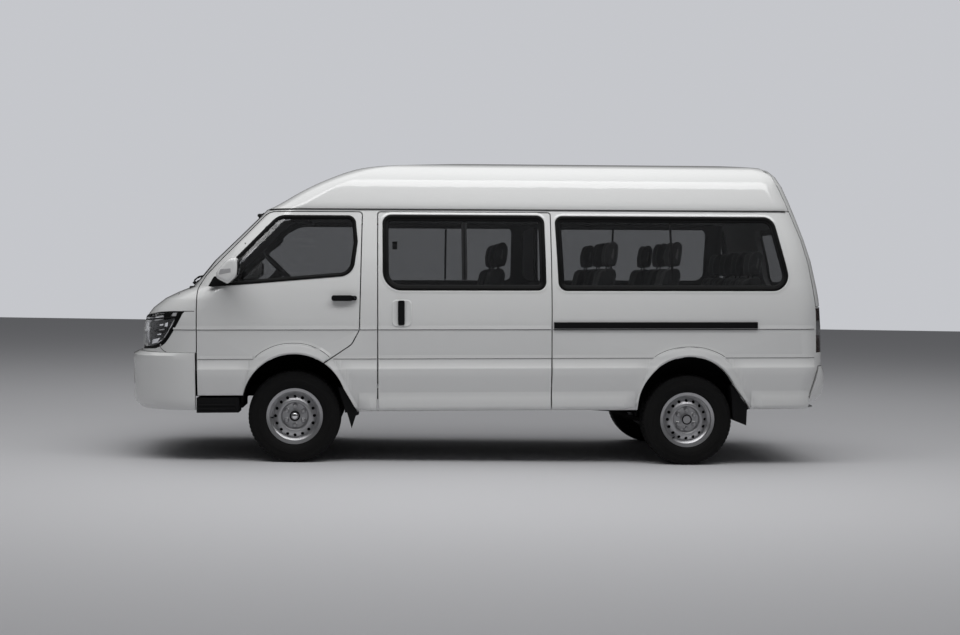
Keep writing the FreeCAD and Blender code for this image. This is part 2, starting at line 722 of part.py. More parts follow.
def make_steering_wheel():
    wheel = torus_along(steering_centre, steering_axis, steering_radius, 14.0)
    hub = rod(steering_centre - steering_axis * 45.0, steering_centre + steering_axis * 5.0, 38.0)
    across = Vector(0, 1, 0)
    up = across.cross(steering_axis) * -1.0
    for direction in (across, across * -1.0, up * -1.0):
        wheel = wheel.fuse(rod(steering_centre - steering_axis * 10.0,
                               steering_centre + direction * steering_radius, 10.0))
    return wheel.fuse(hub)


# ---- running gear ----
front_wheel = Vector(0.0, track_half, wheel_radius)
rear_wheel = Vector(rear_wheel_x, track_half, rear_wheel_z)
bead_width = 140.0
tyre_sides = 60                # the tyre is a fine polygon, within 0.5 mm of round
tread_edge = 22.0              # from the sidewall to the tread's edge
tyre_shoulder = 58.0
stud_circle = 70.0             # radius of the wheel nut circle
vent_count = 16
vent_circle = 142.0
vent_radius = 12.0
spindle_reach = 20.0           # how far the spindle passes the wheel's middle
arm_seat = 82.0                # kingpin half height
arm_thickness = 18.0
engine = (-250.0, 520.0, 280.0, 345.0, 800.0)   # front, rear, half width, bottom, top
rail_bottom = 455.0
rear_rail_y = 500.0


def turned(section):
    # (y, radius, corner) outline revolved about the Y axis
    face = Part.Face(rounded_wire(section, "yz", 0.0))
    return face.revolve(Vector(0, 0, 0), Vector(0, 1, 0), 360.0)


def make_tyre():
    # a ring of flat facets, with its corners on the tyre's round
    half = tyre_width / 2.0
    bead = bead_width / 2.0
    flat = 1.0 / cos(pi / tyre_sides)       # corner radius over flat radius, where it clears the rim
    half_section = [(half - tread_edge, wheel_radius), (half, wheel_radius - tyre_shoulder),
                    (half - 4.0, rim_flange + 34.0), (bead + 2.0, (rim_flange + 3.0) * flat),
                    (bead + 2.0, (rim_flange + 1.4) * flat), (bead - 3.0, (rim_radius + 0.5) * flat)]
    section = half_section + [(-y, r) for y, r in reversed(half_section)]
    facets = []
    for i in range(tyre_sides):
        turns = [2.0 * pi * (i + k) / tyre_sides - pi / 2.0 for k in (0, 1)]
        for (y0, r0), (y1, r1) in zip(section, section[1:] + section[:1]):
            corners = [Vector(r * cos(turn), y, r * sin(turn))
                       for y, r, turn in ((y0, r0, turns[0]), (y1, r1, turns[0]),
                                          (y1, r1, turns[1]), (y0, r0, turns[1]))]
            facets.append(Part.Face(Part.makePolygon(corners + corners[:1])))
    skin = Part.Shell(facets)
    skin.sewShape()
    ring = Part.Solid(skin)
    if ring.Volume < 0.0:
        ring.reverse()
    return ring


def make_rim(hub_inner, brake):
    bead = bead_width / 2.0
    barrel = turned([
        (-bead - 8.0, rim_flange - 2.0, 0.0), (-bead - 2.5, rim_flange - 2.0, 0.0),
        (-bead + 2.5, rim_radius, 0.0), (-30.0, rim_radius - 2.0, 0.0), (-12.0, 168.0, 0.0),
        (22.0, 168.0, 0.0), (40.0, rim_radius - 2.0, 0.0), (bead - 2.5, rim_radius, 0.0),
        (bead + 2.5, rim_flange - 2.0, 0.0), (bead + 8.0, rim_flange - 2.0, 0.0),
        (bead + 1.0, rim_radius - 7.0, 0.0), (44.0, rim_radius - 9.0, 0.0),
        (26.0, 161.0, 0.0), (-16.0, 161.0, 0.0), (-34.0, rim_radius - 9.0, 0.0),
        (-bead - 1.0, rim_radius - 7.0, 0.0)])
    disc = turned([
        (18.0, 162.0, 0.0), (18.0, 154.0, 6.0), (42.0, 120.0, 8.0), (42.0, 106.0, 6.0),
        (20.0, 98.0, 8.0), (20.0, 30.0, 0.0), (30.0, 30.0, 0.0), (30.0, 92.0, 6.0),
        (54.0, 101.0, 6.0), (54.0, 118.0, 6.0), (28.0, 160.0, 0.0), (28.0, 162.0, 0.0)])
    for i in range(vent_count):
        turn = 2.0 * pi * i / vent_count
        centre = Vector(vent_circle * cos(turn), 0.0, vent_circle * sin(turn))
        disc = disc.cut(rod(centre, centre + Vector(0, bead_width, 0), vent_radius))
    rim = barrel.fuse(disc)
    rim = rim.fuse(rod(Vector(0, hub_inner, 0), Vector(0, 62.0, 0), 36.0))
    rim = rim.fuse(rod(Vector(0, -8.0, 0), Vector(0, 21.0, 0), 92.0))
    rim = rim.fuse(rod(Vector(0, brake[0], 0), Vector(0, brake[1], 0), brake[2]))
    for i in range(6):
        turn = 2.0 * pi * (i + 0.5) / 6.0
        centre = Vector(stud_circle * cos(turn), 29.0, stud_circle * sin(turn))
        rim = rim.fuse(rod(centre, centre + Vector(0, 20.0, 0), 12.0))
    bore = rod(Vector(0, hub_inner - 1.0, 0), Vector(0, spindle_reach + 1.0, 0),
               spindle_radius + running_clearance)
    return rim.cut(bore)


def at_wheel(shape, centre, right):
    moved = shape.copy() if right else mirrored(shape)
    moved.translate(Vector(centre.x, centre.y if right else -centre.y, centre.z))
    return moved


def make_knuckle():
    z = wheel_radius
    pin = rod(Vector(0, kingpin_y, z - arm_seat + fit_gap),
              Vector(0, kingpin_y, z + arm_seat - fit_gap), 22.0)
    spindle = rod(Vector(0, kingpin_y, z), Vector(0, track_half + spindle_reach, z),
                  spindle_radius)
    arm = rod(Vector(0, kingpin_y, z - 45.0), Vector(130.0, kingpin_y - 22.0, z - 45.0), 11.0)
    return pin.fuse(spindle).fuse(arm)


def make_front_suspension():
    z = wheel_radius
    rail_in = rail_y - 30.0
    member = block(-70.0, 70.0, -rail_in, rail_in, z - arm_seat - arm_thickness, z)
    side = block(-70.0, 70.0, rail_in - 20.0, rail_y + 30.0, z - 10.0, rail_bottom)
    for low in (z - arm_seat - arm_thickness, z + arm_seat):
        arm = prism([(-70.0, rail_in - 1.0, 0.0), (70.0, rail_in - 1.0, 0.0),
                     (23.0, kingpin_y + 23.0, 22.0), (-23.0, kingpin_y + 23.0, 22.0)],
                    low, low + arm_thickness, "xy")
        side = side.fuse(arm)
    return member.fuse(both_sides(side))


def make_rear_axle():
    c = Vector(rear_wheel_x, 0, rear_wheel_z)
    end = track_half - 102.0
    tube = rod(c - Vector(0, end, 0), c + Vector(0, end, 0), 38.0)
    spindles = rod(c - Vector(0, track_half + spindle_reach, 0),
                   c + Vector(0, track_half + spindle_reach, 0), spindle_radius)
    drum_plate = rod(c + Vector(0, end - 8.0, 0), c + Vector(0, end, 0), 128.0)
    case = rod(c - Vector(0, 75.0, 0), c + Vector(0, 75.0, 0), 125.0)
    nose = rod(c - Vector(240.0, 0, 0), c, 60.0)
    return tube.fuse(spindles).fuse(both_sides(drum_plate)).fuse(case).fuse(nose)


def make_leaf_springs():
    x, z = rear_wheel_x, rear_wheel_z - 38.0
    thickness = 30.0
    front_eye = Vector(x - 640.0, 0, z + 150.0)
    rear_eye = Vector(x + 620.0, 0, z + 160.0)
    seat_point = Vector(x, 0, z)
    down = Vector(0, 0, -thickness)
    edges = [Part.Arc(front_eye, seat_point, rear_eye).toShape(),
             Part.LineSegment(rear_eye, rear_eye + down).toShape(),
             Part.Arc(rear_eye + down, seat_point + down, front_eye + down).toShape(),
             Part.LineSegment(front_eye + down, front_eye).toShape()]
    leaf = Part.Face(Part.Wire(edges)).extrude(Vector(0, 60.0, 0))
    leaf.translate(Vector(0, rear_rail_y - 30.0, 0))
    hanger = block(front_eye.x - 30.0, front_eye.x + 30.0, rear_rail_y - 30.0, rear_rail_y + 30.0,
                   front_eye.z - 35.0, rail_bottom)
    shackle = block(rear_eye.x - 22.0, rear_eye.x + 22.0, rear_rail_y - 30.0, rear_rail_y + 30.0,
                    rear_eye.z - 30.0, rail_bottom)
    spring = leaf.fuse(hanger).fuse(shackle).cut(make_rear_axle())
    return Part.makeCompound([spring, mirrored(spring)])


def make_engine():
    front, rear, half, bottom, top = engine
    return block(front, rear, -half, half, bottom, top)


def make_drive_shaft(axle):
    shaft = rod(Vector(engine[1] - 20.0, 0, 430.0),
                Vector(rear_wheel_x - 150.0, 0, rear_wheel_z + 6.0), 34.0)
    return shaft.cut(axle).cut(make_engine())


def make_exhaust():
    y = 190.0
    z = 400.0
    pipe = rod(Vector(engine[1], y, z), Vector(3860.0, y, z), 25.0)
    box = prism([(y - 95.0, z - 62.0, 55.0), (y + 95.0, z - 62.0, 55.0),
                 (y + 95.0, z + 62.0, 55.0), (y - 95.0, z + 62.0, 55.0)], 1700.0, 2350.0, "yz")
    hangers = block(1780.0, 1800.0, y - 10.0, y + 10.0, z, floor_z - floor_thickness)
    hangers = hangers.fuse(block(3560.0, 3580.0, y - 10.0, y + 10.0, z, floor_z - floor_thickness))
    return pipe.fuse(box).fuse(hangers)


def make_fuel_tank():
    low, top = 392.0, floor_z - floor_thickness
    tank = prism([(395.0, low, 30.0), (690.0, low, 30.0), (690.0, top, 10.0), (395.0, top, 10.0)],
                 1050.0, 1800.0, "yz")
    return tank


# Mudflaps, as (x from the wheel, z from the arch's centre).
flap_y = (640.0, 798.0)
front_flap = [(318.0, 132.0, 0.0), (351.0, 132.0, 0.0), (470.0, -68.0, 0.0), (447.0, -78.0, 0.0),
              (417.0, -170.0, 0.0), (383.0, -54.0, 0.0), (366.0, -54.0, 0.0), (366.0, -20.0, 0.0),
              (345.0, 42.0, 0.0)]
rear_flap = [(320.0, 160.0, 0.0), (335.0, 160.0, 0.0), (452.0, 6.0, 0.0), (446.0, -141.0, 0.0),
             (347.0, -102.0, 0.0), (339.0, -12.0, 0.0), (339.0, 40.0, 0.0)]


def make_mudflaps():
    flaps = []
    for centre, outline in ((front_arch, front_flap), (rear_arch, rear_flap)):
        x, z = centre
        flap = prism([(x + dx, z + dz, r) for dx, dz, r in outline], flap_y[0], flap_y[1])
        around = arch_prism(centre, arch_radius + arch_liner + fit_gap, flap_y[0] - 1.0,
                            rear_liner[1] + fit_gap)
        around = around.cut(arch_prism(centre, arch_radius - fit_gap, 0.0, far))
        around = around.common(block(x, x + far, 0.0, far, liner_bottom_z - fit_gap, far))
        flap = largest(flap.cut(around))
        flaps += [flap, mirrored(flap)]
    return Part.makeCompound(flaps)


def make_steps():
    step = block(-703.0, front_arch[0] - arch_radius - arch_liner - 6.0, 640.0, 832.0, 374.0,
                 door_bottom_z - panel_gap)
    web = block(-640.0, -560.0, 640.0, 740.0, door_bottom_z - panel_gap, floor_z - floor_thickness)
    step = step.fuse(web)
    return Part.makeCompound([step, mirrored(step)])


def make_slide_rail():
    bar = block(1906.0, 3437.0, -860.0, -835.0, 983.0, 1030.0)
    return largest(bar.cut(outer))


mirror_outline = [(-540.0, 1362.0, 18.0), (-476.0, 1292.0, 14.0), (-390.0, 1318.0, 18.0),
                  (-384.0, 1488.0, 22.0), (-436.0, 1508.0, 26.0)]
mirror_inner_y = 872.0
mirror_outer_y = 1046.0


def make_mirror():
    housing = prism(mirror_outline, mirror_inner_y, mirror_outer_y)
    stalk = prism([(-520.0, 1300.0, 8.0), (-420.0, 1300.0, 8.0), (-430.0, 1350.0, 8.0),
                   (-500.0, 1350.0, 8.0)], 760.0, mirror_inner_y + 5.0)
    stalk = stalk.cut(outer)
    return housing.fuse(largest(stalk))


# Towing bosses: inner end x, mouth x, y. Their height, sizes and thread depth.
towing_bosses = [(-1100.0, -1222.0, rail_y), (3900.0, 4012.0, rear_rail_y)]
towing_z = 500.0
towing_boss_radius = 26.0
towing_thread_radius = 10.0
towing_thread_depth = 50.0
towing_access = 6.0            # clearance round a boss in its bumper
# Jacking pads under the rails: x, y.
jack_pads = [(640.0, rail_y), (640.0, -rail_y), (2150.0, rear_rail_y), (2150.0, -rear_rail_y)]
jack_pad_radius = 28.0
jack_pad_height = 12.0
# Tow bar holes, straight up into the rear rails after the body is set on its wheels.
tow_bar_x = 3735.0
tow_bar_pitch = 150.0
tow_bar_hole_radius = 6.5
tow_bar_hole_depth = 60.0


def towing_boss(inner_x, mouth_x, y, radius, start=0.0):
    # rod along X from the inner end, or from start short of the mouth, to the mouth
    outward = 1.0 if mouth_x > inner_x else -1.0
    begin = mouth_x - outward * start if start else inner_x
    return rod(Vector(begin, y, towing_z), Vector(mouth_x, y, towing_z), radius)


def add_fastenings(floor_shape):
    for inner_x, mouth_x, y in towing_bosses:
        floor_shape = floor_shape.fuse(towing_boss(inner_x, mouth_x, y, towing_boss_radius))
        floor_shape = floor_shape.cut(towing_boss(inner_x, mouth_x, y, towing_thread_radius,
                                                  towing_thread_depth))
    for x, y in jack_pads:
        pad = rod(Vector(x, y, rail_bottom - jack_pad_height), Vector(x, y, rail_bottom + 5.0),
                  jack_pad_radius)
        floor_shape = floor_shape.fuse(pad)
    return floor_shape


def drill_tow_bar_holes(placed_floor):
    centre = place(Part.Vertex(Vector(tow_bar_x, 0, rail_bottom))).Point
    for side_x in (-0.5, 0.5):
        for y in (-rear_rail_y, rear_rail_y):
            foot = Vector(centre.x + side_x * tow_bar_pitch, y, centre.z - 20.0)
            hole = rod(foot, foot + Vector(0, 0, 20.0 + tow_bar_hole_depth), tow_bar_hole_radius)
            placed_floor = placed_floor.cut(hole)
    return placed_floor


def make_bumper_brackets(bumper_shape, x0, x1, y):
    # rail ends, from the rails to the inside of a bumper cover
    bracket = block(x0, x1, y - 30.0, y + 30.0, rail_bottom, floor_z - floor_thickness)
    pieces = bracket.cut(bumper_shape).Solids
    inside = min(pieces, key=lambda piece: abs(piece.CenterOfMass.x))
    return both_sides(inside)


# ---- all pieces ----
side_left = make_side(False)
side_right = make_side(True)
front_body = make_front_body()
roof = make_roof()
floor = make_floor()
liners = make_arch_liners()
door_left = make_front_door(False)
door_right = mirrored(door_left)
axle = make_rear_axle()
tyre = make_tyre()
rim_front = make_rim(-12.0, (-12.0, 2.0, 128.0))
rim_rear = make_rim(-100.0, (-100.0, -45.0, 128.0))
knuckle = make_knuckle()
glass_front = pane(prism(front_window_outline, 300.0, 1200.0))

bumper_front = make_front_bumper()
bumper_rear = make_rear_bumper()
floor = floor.fuse(make_bumper_brackets(bumper_front, -1300.0, -1030.0, rail_y))
floor = floor.fuse(make_bumper_brackets(bumper_rear, floor_rear_x - 20.0, 4100.0, rear_rail_y))
floor = add_fastenings(floor)
for inner_x, mouth_x, y in towing_bosses:
    access = rod(Vector(inner_x, y, towing_z), Vector(mouth_x * 1.1, y, towing_z),
                 towing_boss_radius + towing_access)
    bumper_front = bumper_front.cut(access)
    bumper_rear = bumper_rear.cut(access)
nodes["floor_pan"] = floor
nodes["wheel_arches"] = liners
nodes["front_body"] = front_body
nodes["side_left"] = side_left
nodes["side_right"] = side_right
nodes["roof"] = roof
nodes["drip_rails"] = make_drip_rails(roof)
nodes["grille"] = make_grille()
nodes["bumper_front"] = bumper_front
nodes["bumper_rear"] = bumper_rear
nodes["windscreen"] = make_windscreen()
nodes["glass_rear_left"] = pane(prism(rear_window_outline, -1200.0, -300.0))
nodes["glass_rear_right"] = pane(prism(rear_window_outline, 300.0, 1200.0))
nodes["glass_mid_right"] = pane(prism(mid_window_outline, 300.0, 1200.0))
nodes["headlamps"] = make_lamps()
nodes["tail_lamps"] = make_tail_lamps()
nodes["dashboard"] = make_dashboard().fuse(make_column())
nodes["seats_front"] = make_seats(front_seats, seat_platform_z)
nodes["seats_rear"] = make_seats(rear_seats, floor_z)
nodes["engine_block"] = make_engine()
nodes["rear_axle"] = axle
nodes["leaf_springs"] = make_leaf_springs()
nodes["front_suspension"] = make_front_suspension()
nodes["drive_shaft"] = make_drive_shaft(axle)
nodes["exhaust"] = make_exhaust()
nodes["fuel_tank"] = make_fuel_tank()
nodes["mudflaps"] = make_mudflaps()
nodes["steps"] = make_steps()
nodes["slide_rail"] = make_slide_rail()
nodes["door_sliding"] = make_slide_door()
nodes["glass_sliding"] = pane(prism(mid_window_outline, -1200.0, -300.0))
nodes["bonnet"] = make_bonnet()
nodes["tailgate"] = make_tail_door()
nodes["glass_tailgate"] = make_tail_glass()
nodes["steering_wheel"] = make_steering_wheel()
for name, right in (("left", False), ("right", True)):
    nodes["door_front_" + name] = door_right if right else door_left
    nodes["glass_front_" + name] = glass_front if right else mirrored(glass_front)
    nodes["mirror_" + name] = make_mirror() if right else mirrored(make_mirror())
    nodes["knuckle_" + name] = knuckle if right else mirrored(knuckle)
    for place_name, centre, rim in (("front", front_wheel, rim_front),
                                    ("rear", rear_wheel, rim_rear)):
        nodes["tyre_%s_%s" % (place_name, name)] = at_wheel(tyre, centre, right)
        nodes["rim_%s_%s" % (place_name, name)] = at_wheel(rim, centre, right)

os.makedirs("parts", exist_ok=True)
for name, shape in nodes.items():
    placed = place(shape)
    if name == "floor_pan":
        placed = drill_tow_bar_holes(placed)
    placed.exportStep("parts/%s.step" % name)
print(len(nodes), "pieces written")
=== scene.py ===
import bmesh
import bpy
import json
from math import cos, pi, radians, sin, sqrt
from mathutils import Matrix, Vector
from mathutils.bvhtree import BVHTree
from mathutils.kdtree import KDTree


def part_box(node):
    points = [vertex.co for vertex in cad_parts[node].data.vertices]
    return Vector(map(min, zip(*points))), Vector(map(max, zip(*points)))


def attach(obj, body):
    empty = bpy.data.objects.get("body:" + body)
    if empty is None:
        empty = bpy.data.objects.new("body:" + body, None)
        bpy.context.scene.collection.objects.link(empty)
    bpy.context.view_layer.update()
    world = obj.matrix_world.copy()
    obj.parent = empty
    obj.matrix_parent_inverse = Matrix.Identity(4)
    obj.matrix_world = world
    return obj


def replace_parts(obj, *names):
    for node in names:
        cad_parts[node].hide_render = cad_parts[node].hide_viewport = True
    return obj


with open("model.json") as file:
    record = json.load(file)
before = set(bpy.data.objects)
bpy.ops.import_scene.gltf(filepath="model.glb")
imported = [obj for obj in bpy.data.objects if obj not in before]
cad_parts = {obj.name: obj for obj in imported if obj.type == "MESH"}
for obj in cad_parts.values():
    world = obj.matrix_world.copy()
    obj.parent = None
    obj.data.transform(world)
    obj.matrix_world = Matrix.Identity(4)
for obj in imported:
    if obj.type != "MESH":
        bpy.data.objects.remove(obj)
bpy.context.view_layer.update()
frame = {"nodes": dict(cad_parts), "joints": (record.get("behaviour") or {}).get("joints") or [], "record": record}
nodes = frame["nodes"]
scene = bpy.context.scene
sides = ((-1, "left"), (1, "right"))

# The body stands nose-down on its wheels. Its pieces are drawn level, with x from the front axle,
# y to the vehicle's right and z from the floor, and bodyMatrix sets them on the frame.
wheelLow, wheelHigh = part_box("tyre_front_left")
wheelRadius = (wheelHigh.z - wheelLow.z) / 2
axle = Vector(((wheelLow.x + wheelHigh.x) / 2, 0, wheelLow.z + wheelRadius))
up = Vector(next(j["axis"] for j in frame["joints"] if j["name"] == "steer_left"))
along = Vector((up.z, 0, -up.x))
foot = axle - up * wheelRadius
bodyMatrix = Matrix(((along.x, 0, up.x, foot.x), (0, 1, 0, 0), (along.z, 0, up.z, foot.z), (0, 0, 0, 1)))
levelMatrix = bodyMatrix.inverted()


def levelBox(node):
    # lowest and highest corner of a CAD node in the level frame
    points = [levelMatrix @ v.co for v in nodes[node].data.vertices]
    return [Vector([pick(p[i] for p in points) for i in range(3)]) for pick in (min, max)]


def addNode(tree, kind, links=(), **values):
    # a shader node with its settings; links are (socket, output it takes)
    node = tree.nodes.new(kind)
    for key, value in values.items():
        socket = key.replace("_", " ")
        if socket in node.inputs:
            node.inputs[socket].default_value = value
        else:
            setattr(node, key, value)
    for socket, output in links:
        tree.links.new(output, node.inputs[socket])
    return node


def mathOf(tree, operation, *inputs):
    # a Math node; an input is another node's output or a number
    node = tree.nodes.new("ShaderNodeMath")
    node.operation = operation
    for socket, value in zip(node.inputs, inputs):
        if isinstance(value, (int, float)):
            socket.default_value = value
        else:
            tree.links.new(value, socket)
    return node.outputs[0]


def objectSpot(tree):
    return addNode(tree, "ShaderNodeTexCoord").outputs["Object"]


def partOf(tree, axis):
    # one coordinate of the object's space
    return addNode(tree, "ShaderNodeSeparateXYZ", [("Vector", objectSpot(tree))]).outputs[axis]


def newGroup(name, inputs, outputs):
    # inputs: name and default; outputs: name and kind
    group = bpy.data.node_groups.new(name, "ShaderNodeTree")
    for label, value in inputs:
        socket = group.interface.new_socket(label, in_out="INPUT", socket_type="NodeSocketFloat")
        socket.default_value = value
    for label, kind in outputs:
        group.interface.new_socket(label, in_out="OUTPUT", socket_type="NodeSocket" + kind)
    return group, group.nodes.new("NodeGroupInput").outputs, group.nodes.new("NodeGroupOutput").inputs


def makeGrain():
    # moulded or woven grain: a normal, and a mask for the roughness
    group, inside, outside = newGroup("fineGrain", [("Scale", 900), ("Depth", 0.0004)],
                                      [("Normal", "Vector"), ("Mask", "Float")])
    noise = addNode(group, "ShaderNodeTexNoise", [("Vector", objectSpot(group)), ("Scale", inside["Scale"])],
                    Detail=3.0)
    bump = addNode(group, "ShaderNodeBump", [("Height", noise.outputs[0]), ("Distance", inside["Depth"])],
                   Strength=0.6)
    group.links.new(bump.outputs["Normal"], outside["Normal"])
    group.links.new(noise.outputs[0], outside["Mask"])
    return group


def makeDust():
    # uneven road dust, thicker low down
    group, inside, outside = newGroup("roadDust", [("Scale", 3), ("Top", 0.8), ("Amount", 0.3)],
                                      [("Mask", "Float")])
    noise = addNode(group, "ShaderNodeTexNoise", [("Vector", objectSpot(group)), ("Scale", inside["Scale"])],
                    Detail=6.0)
    low = addNode(group, "ShaderNodeMapRange", [("Value", partOf(group, "Z")), ("From Min", inside["Top"]),
                                                ("To Max", inside["Amount"])], From_Max=0.0)
    group.links.new(mathOf(group, "MULTIPLY", low.outputs[0], noise.outputs[0]), outside["Mask"])
    return group


def makeStripes():
    # sewn stripes along a seat, as a mask across its width
    group, inside, outside = newGroup("sewnStripes", [("Pitch", 0.034), ("Inner", 0.045), ("Outer", 0.135)],
                                      [("Mask", "Float")])
    stripe = 0.006
    size = mathOf(group, "ABSOLUTE", partOf(group, "Y"))
    thin = mathOf(group, "LESS_THAN", mathOf(group, "PINGPONG", size, inside["Pitch"]), stripe)
    band = mathOf(group, "MULTIPLY", mathOf(group, "GREATER_THAN", size, inside["Inner"]),
                  mathOf(group, "LESS_THAN", size, inside["Outer"]))
    group.links.new(mathOf(group, "MULTIPLY", thin, band), outside["Mask"])
    return group


grain = makeGrain()
roadDust = makeDust()
sewnStripes = makeStripes()


def newMaterial(name, color, roughness, **settings):
    material = bpy.data.materials.new(name)
    material.use_nodes = True
    tree = material.node_tree
    shader = tree.nodes["Principled BSDF"]
    shader.inputs["Base Color"].default_value = (*color, 1)
    shader.inputs["Roughness"].default_value = roughness
    for socket, value in settings.items():
        shader.inputs[socket.replace("_", " ")].default_value = value
    return material, tree, shader


def tintBy(tree, shader, mask, clean, other):
    # base colour between two by a mask
    mix = addNode(tree, "ShaderNodeMix", [("Factor", mask)], data_type="RGBA")
    mix.inputs[6].default_value = (*clean, 1)
    mix.inputs[7].default_value = (*other, 1)
    tree.links.new(mix.outputs[2], shader.inputs["Base Color"])


def dustOn(tree, shader, amount, clean, other):
    dust = addNode(tree, "ShaderNodeGroup", node_tree=roadDust)
    dust.inputs["Amount"].default_value = amount
    tintBy(tree, shader, dust.outputs["Mask"], clean, other)


def bumpBy(tree, shader, height, strength, distance):
    bump = addNode(tree, "ShaderNodeBump", [("Height", height)], Strength=strength, Distance=distance)
    tree.links.new(bump.outputs["Normal"], shader.inputs["Normal"])


def makeGrained(name, slot, color, low, high, scale=900.0, depth=0.0004, dusty=None, **settings):
    # low and high: the roughness varies between them
    material, tree, shader = newMaterial(name, color, low, **settings)
    skin = addNode(tree, "ShaderNodeGroup", node_tree=grain)
    skin.inputs["Scale"].default_value = scale
    skin.inputs["Depth"].default_value = depth
    span = addNode(tree, "ShaderNodeMapRange", [("Value", skin.outputs["Mask"])], To_Min=low, To_Max=high)
    tree.links.new(skin.outputs["Normal"], shader.inputs["Normal"])
    tree.links.new(span.outputs[0], shader.inputs["Roughness"])
    if dusty:
        dustOn(tree, shader, 0.9, color, dusty)
    return material


def makePaint():
    # white enamel under lacquer with a faint ripple
    white = (0.76, 0.765, 0.76)
    material, tree, shader = newMaterial("bodyPaint", white, 0.4, Coat_Weight=1.0, Coat_Roughness=0.05,
                                         Specular_IOR_Level=0.3)
    dustOn(tree, shader, 0.25, white, (0.55, 0.54, 0.52))
    ripple = addNode(tree, "ShaderNodeTexNoise", [("Vector", objectSpot(tree))], Scale=140.0, Detail=2.0)
    bumpBy(tree, shader, ripple.outputs[0], 0.05, 0.0006)
    return material


def makeGlass(name, tint, shadow):
    # tinted sheet; light passes into the cabin through its shadow colour
    material, tree, shader = newMaterial(name, tint, 0.0, Transmission_Weight=1.0, IOR=1.45)
    clear = addNode(tree, "ShaderNodeBsdfTransparent", Color=(*shadow, 1))
    path = addNode(tree, "ShaderNodeLightPath")
    mix = addNode(tree, "ShaderNodeMixShader", [(0, path.outputs["Is Shadow Ray"]), (1, shader.outputs[0]),
                                                (2, clear.outputs[0])])
    tree.links.new(mix.outputs[0], tree.nodes["Material Output"].inputs["Surface"])
    return material


def makeCloth():
    grey = (0.030, 0.030, 0.031)
    material = makeGrained("seatCloth", "seat_cloth", grey, 0.85, 0.98, 700.0, 0.0012, Sheen_Weight=0.25)
    tree = material.node_tree
    stripes = addNode(tree, "ShaderNodeGroup", node_tree=sewnStripes)
    tintBy(tree, tree.nodes["Principled BSDF"], stripes.outputs["Mask"], grey, (0.16, 0.16, 0.16))
    return material


paint = makePaint()
glass = makeGlass("windowGlass", (0.355, 0.358, 0.360), (0.5, 0.5, 0.5))
lens = makeGlass("lampLens", (0.97, 0.97, 0.97), (0.9, 0.9, 0.9))
rubber = makeGrained("windowRubber", "black_trim", (0.0035, 0.0035, 0.0035), 0.45, 0.6, 500.0, 0.0002,
                     Specular_IOR_Level=0.12)
blackTrim = makeGrained("blackTrim", "black_trim", (0.0045, 0.0045, 0.005), 0.45, 0.65,
                        Specular_IOR_Level=0.16)
underseal = makeGrained("underseal", "underbody_steel", (0.004, 0.004, 0.004), 0.7, 0.9, 160.0, 0.002,
                        (0.010, 0.009, 0.0085), Specular_IOR_Level=0.1)
cabin = makeGrained("cabinPlastic", "cabin_plastic", (0.035, 0.035, 0.036), 0.5, 0.75)
lining = makeGrained("wallLining", "cabin_plastic", (0.040, 0.040, 0.041), 0.8, 0.95, 1500.0, 0.0005)
paleTrim = makeGrained("paleTrim", "cabin_plastic", (0.10, 0.10, 0.10), 0.6, 0.8)
cloth = makeCloth()
tailLens = makeGrained("tailLens", "tail_lamp_lens", (0.16, 0.006, 0.006), 0.06, 0.10, 300.0, 0.0002,
                       Coat_Weight=1.0)
clearLens = makeGrained("clearLens", "lamp_lens", (0.42, 0.42, 0.43), 0.08, 0.12, 300.0, 0.0002,
                        Coat_Weight=1.0)
tyreRubber = makeGrained("tyreRubber", "tyre_rubber", (0.004, 0.004, 0.0042), 0.6, 0.8, 400.0, 0.0004,
                         (0.007, 0.0065, 0.006), Specular_IOR_Level=0.18)
rimSilver = makeGrained("rimSilver", "rim_paint", (0.42, 0.42, 0.43), 0.28, 0.42, 600.0, 0.0002,
                        Metallic=0.85)
chrome = makeGrained("chrome", "lamp_lens", (0.75, 0.75, 0.76), 0.06, 0.14, 300.0, 0.00005, Metallic=1.0)
mirrorGlass = makeGrained("mirrorGlass", "black_trim", (0.6, 0.61, 0.62), 0.02, 0.03, 100.0, 0.00002,
                          Metallic=1.0)
plateBlank = makeGrained("plateBlank", "black_trim", (0.55, 0.55, 0.54), 0.35, 0.5, 300.0, 0.0002)
# dark strips: the own dark of the real seams, and painted shade along the body's creases
seamAndPaintedShade = makeGrained("seamAndPaintedShade", "body_paint", (0.030, 0.030, 0.031), 0.5, 0.7, 300.0, 0.0002)

finishes = {
    "body_paint": paint, "window_glass": glass, "underbody_steel": underseal, "black_trim": blackTrim,
    "cabin_plastic": cabin, "seat_cloth": cloth, "lamp_lens": lens, "tail_lamp_lens": tailLens,
    "tyre_rubber": tyreRubber, "rim_paint": rimSilver}
slotOf = {p["node"]: p["material_slot"] for p in frame["record"]["subparts"]}


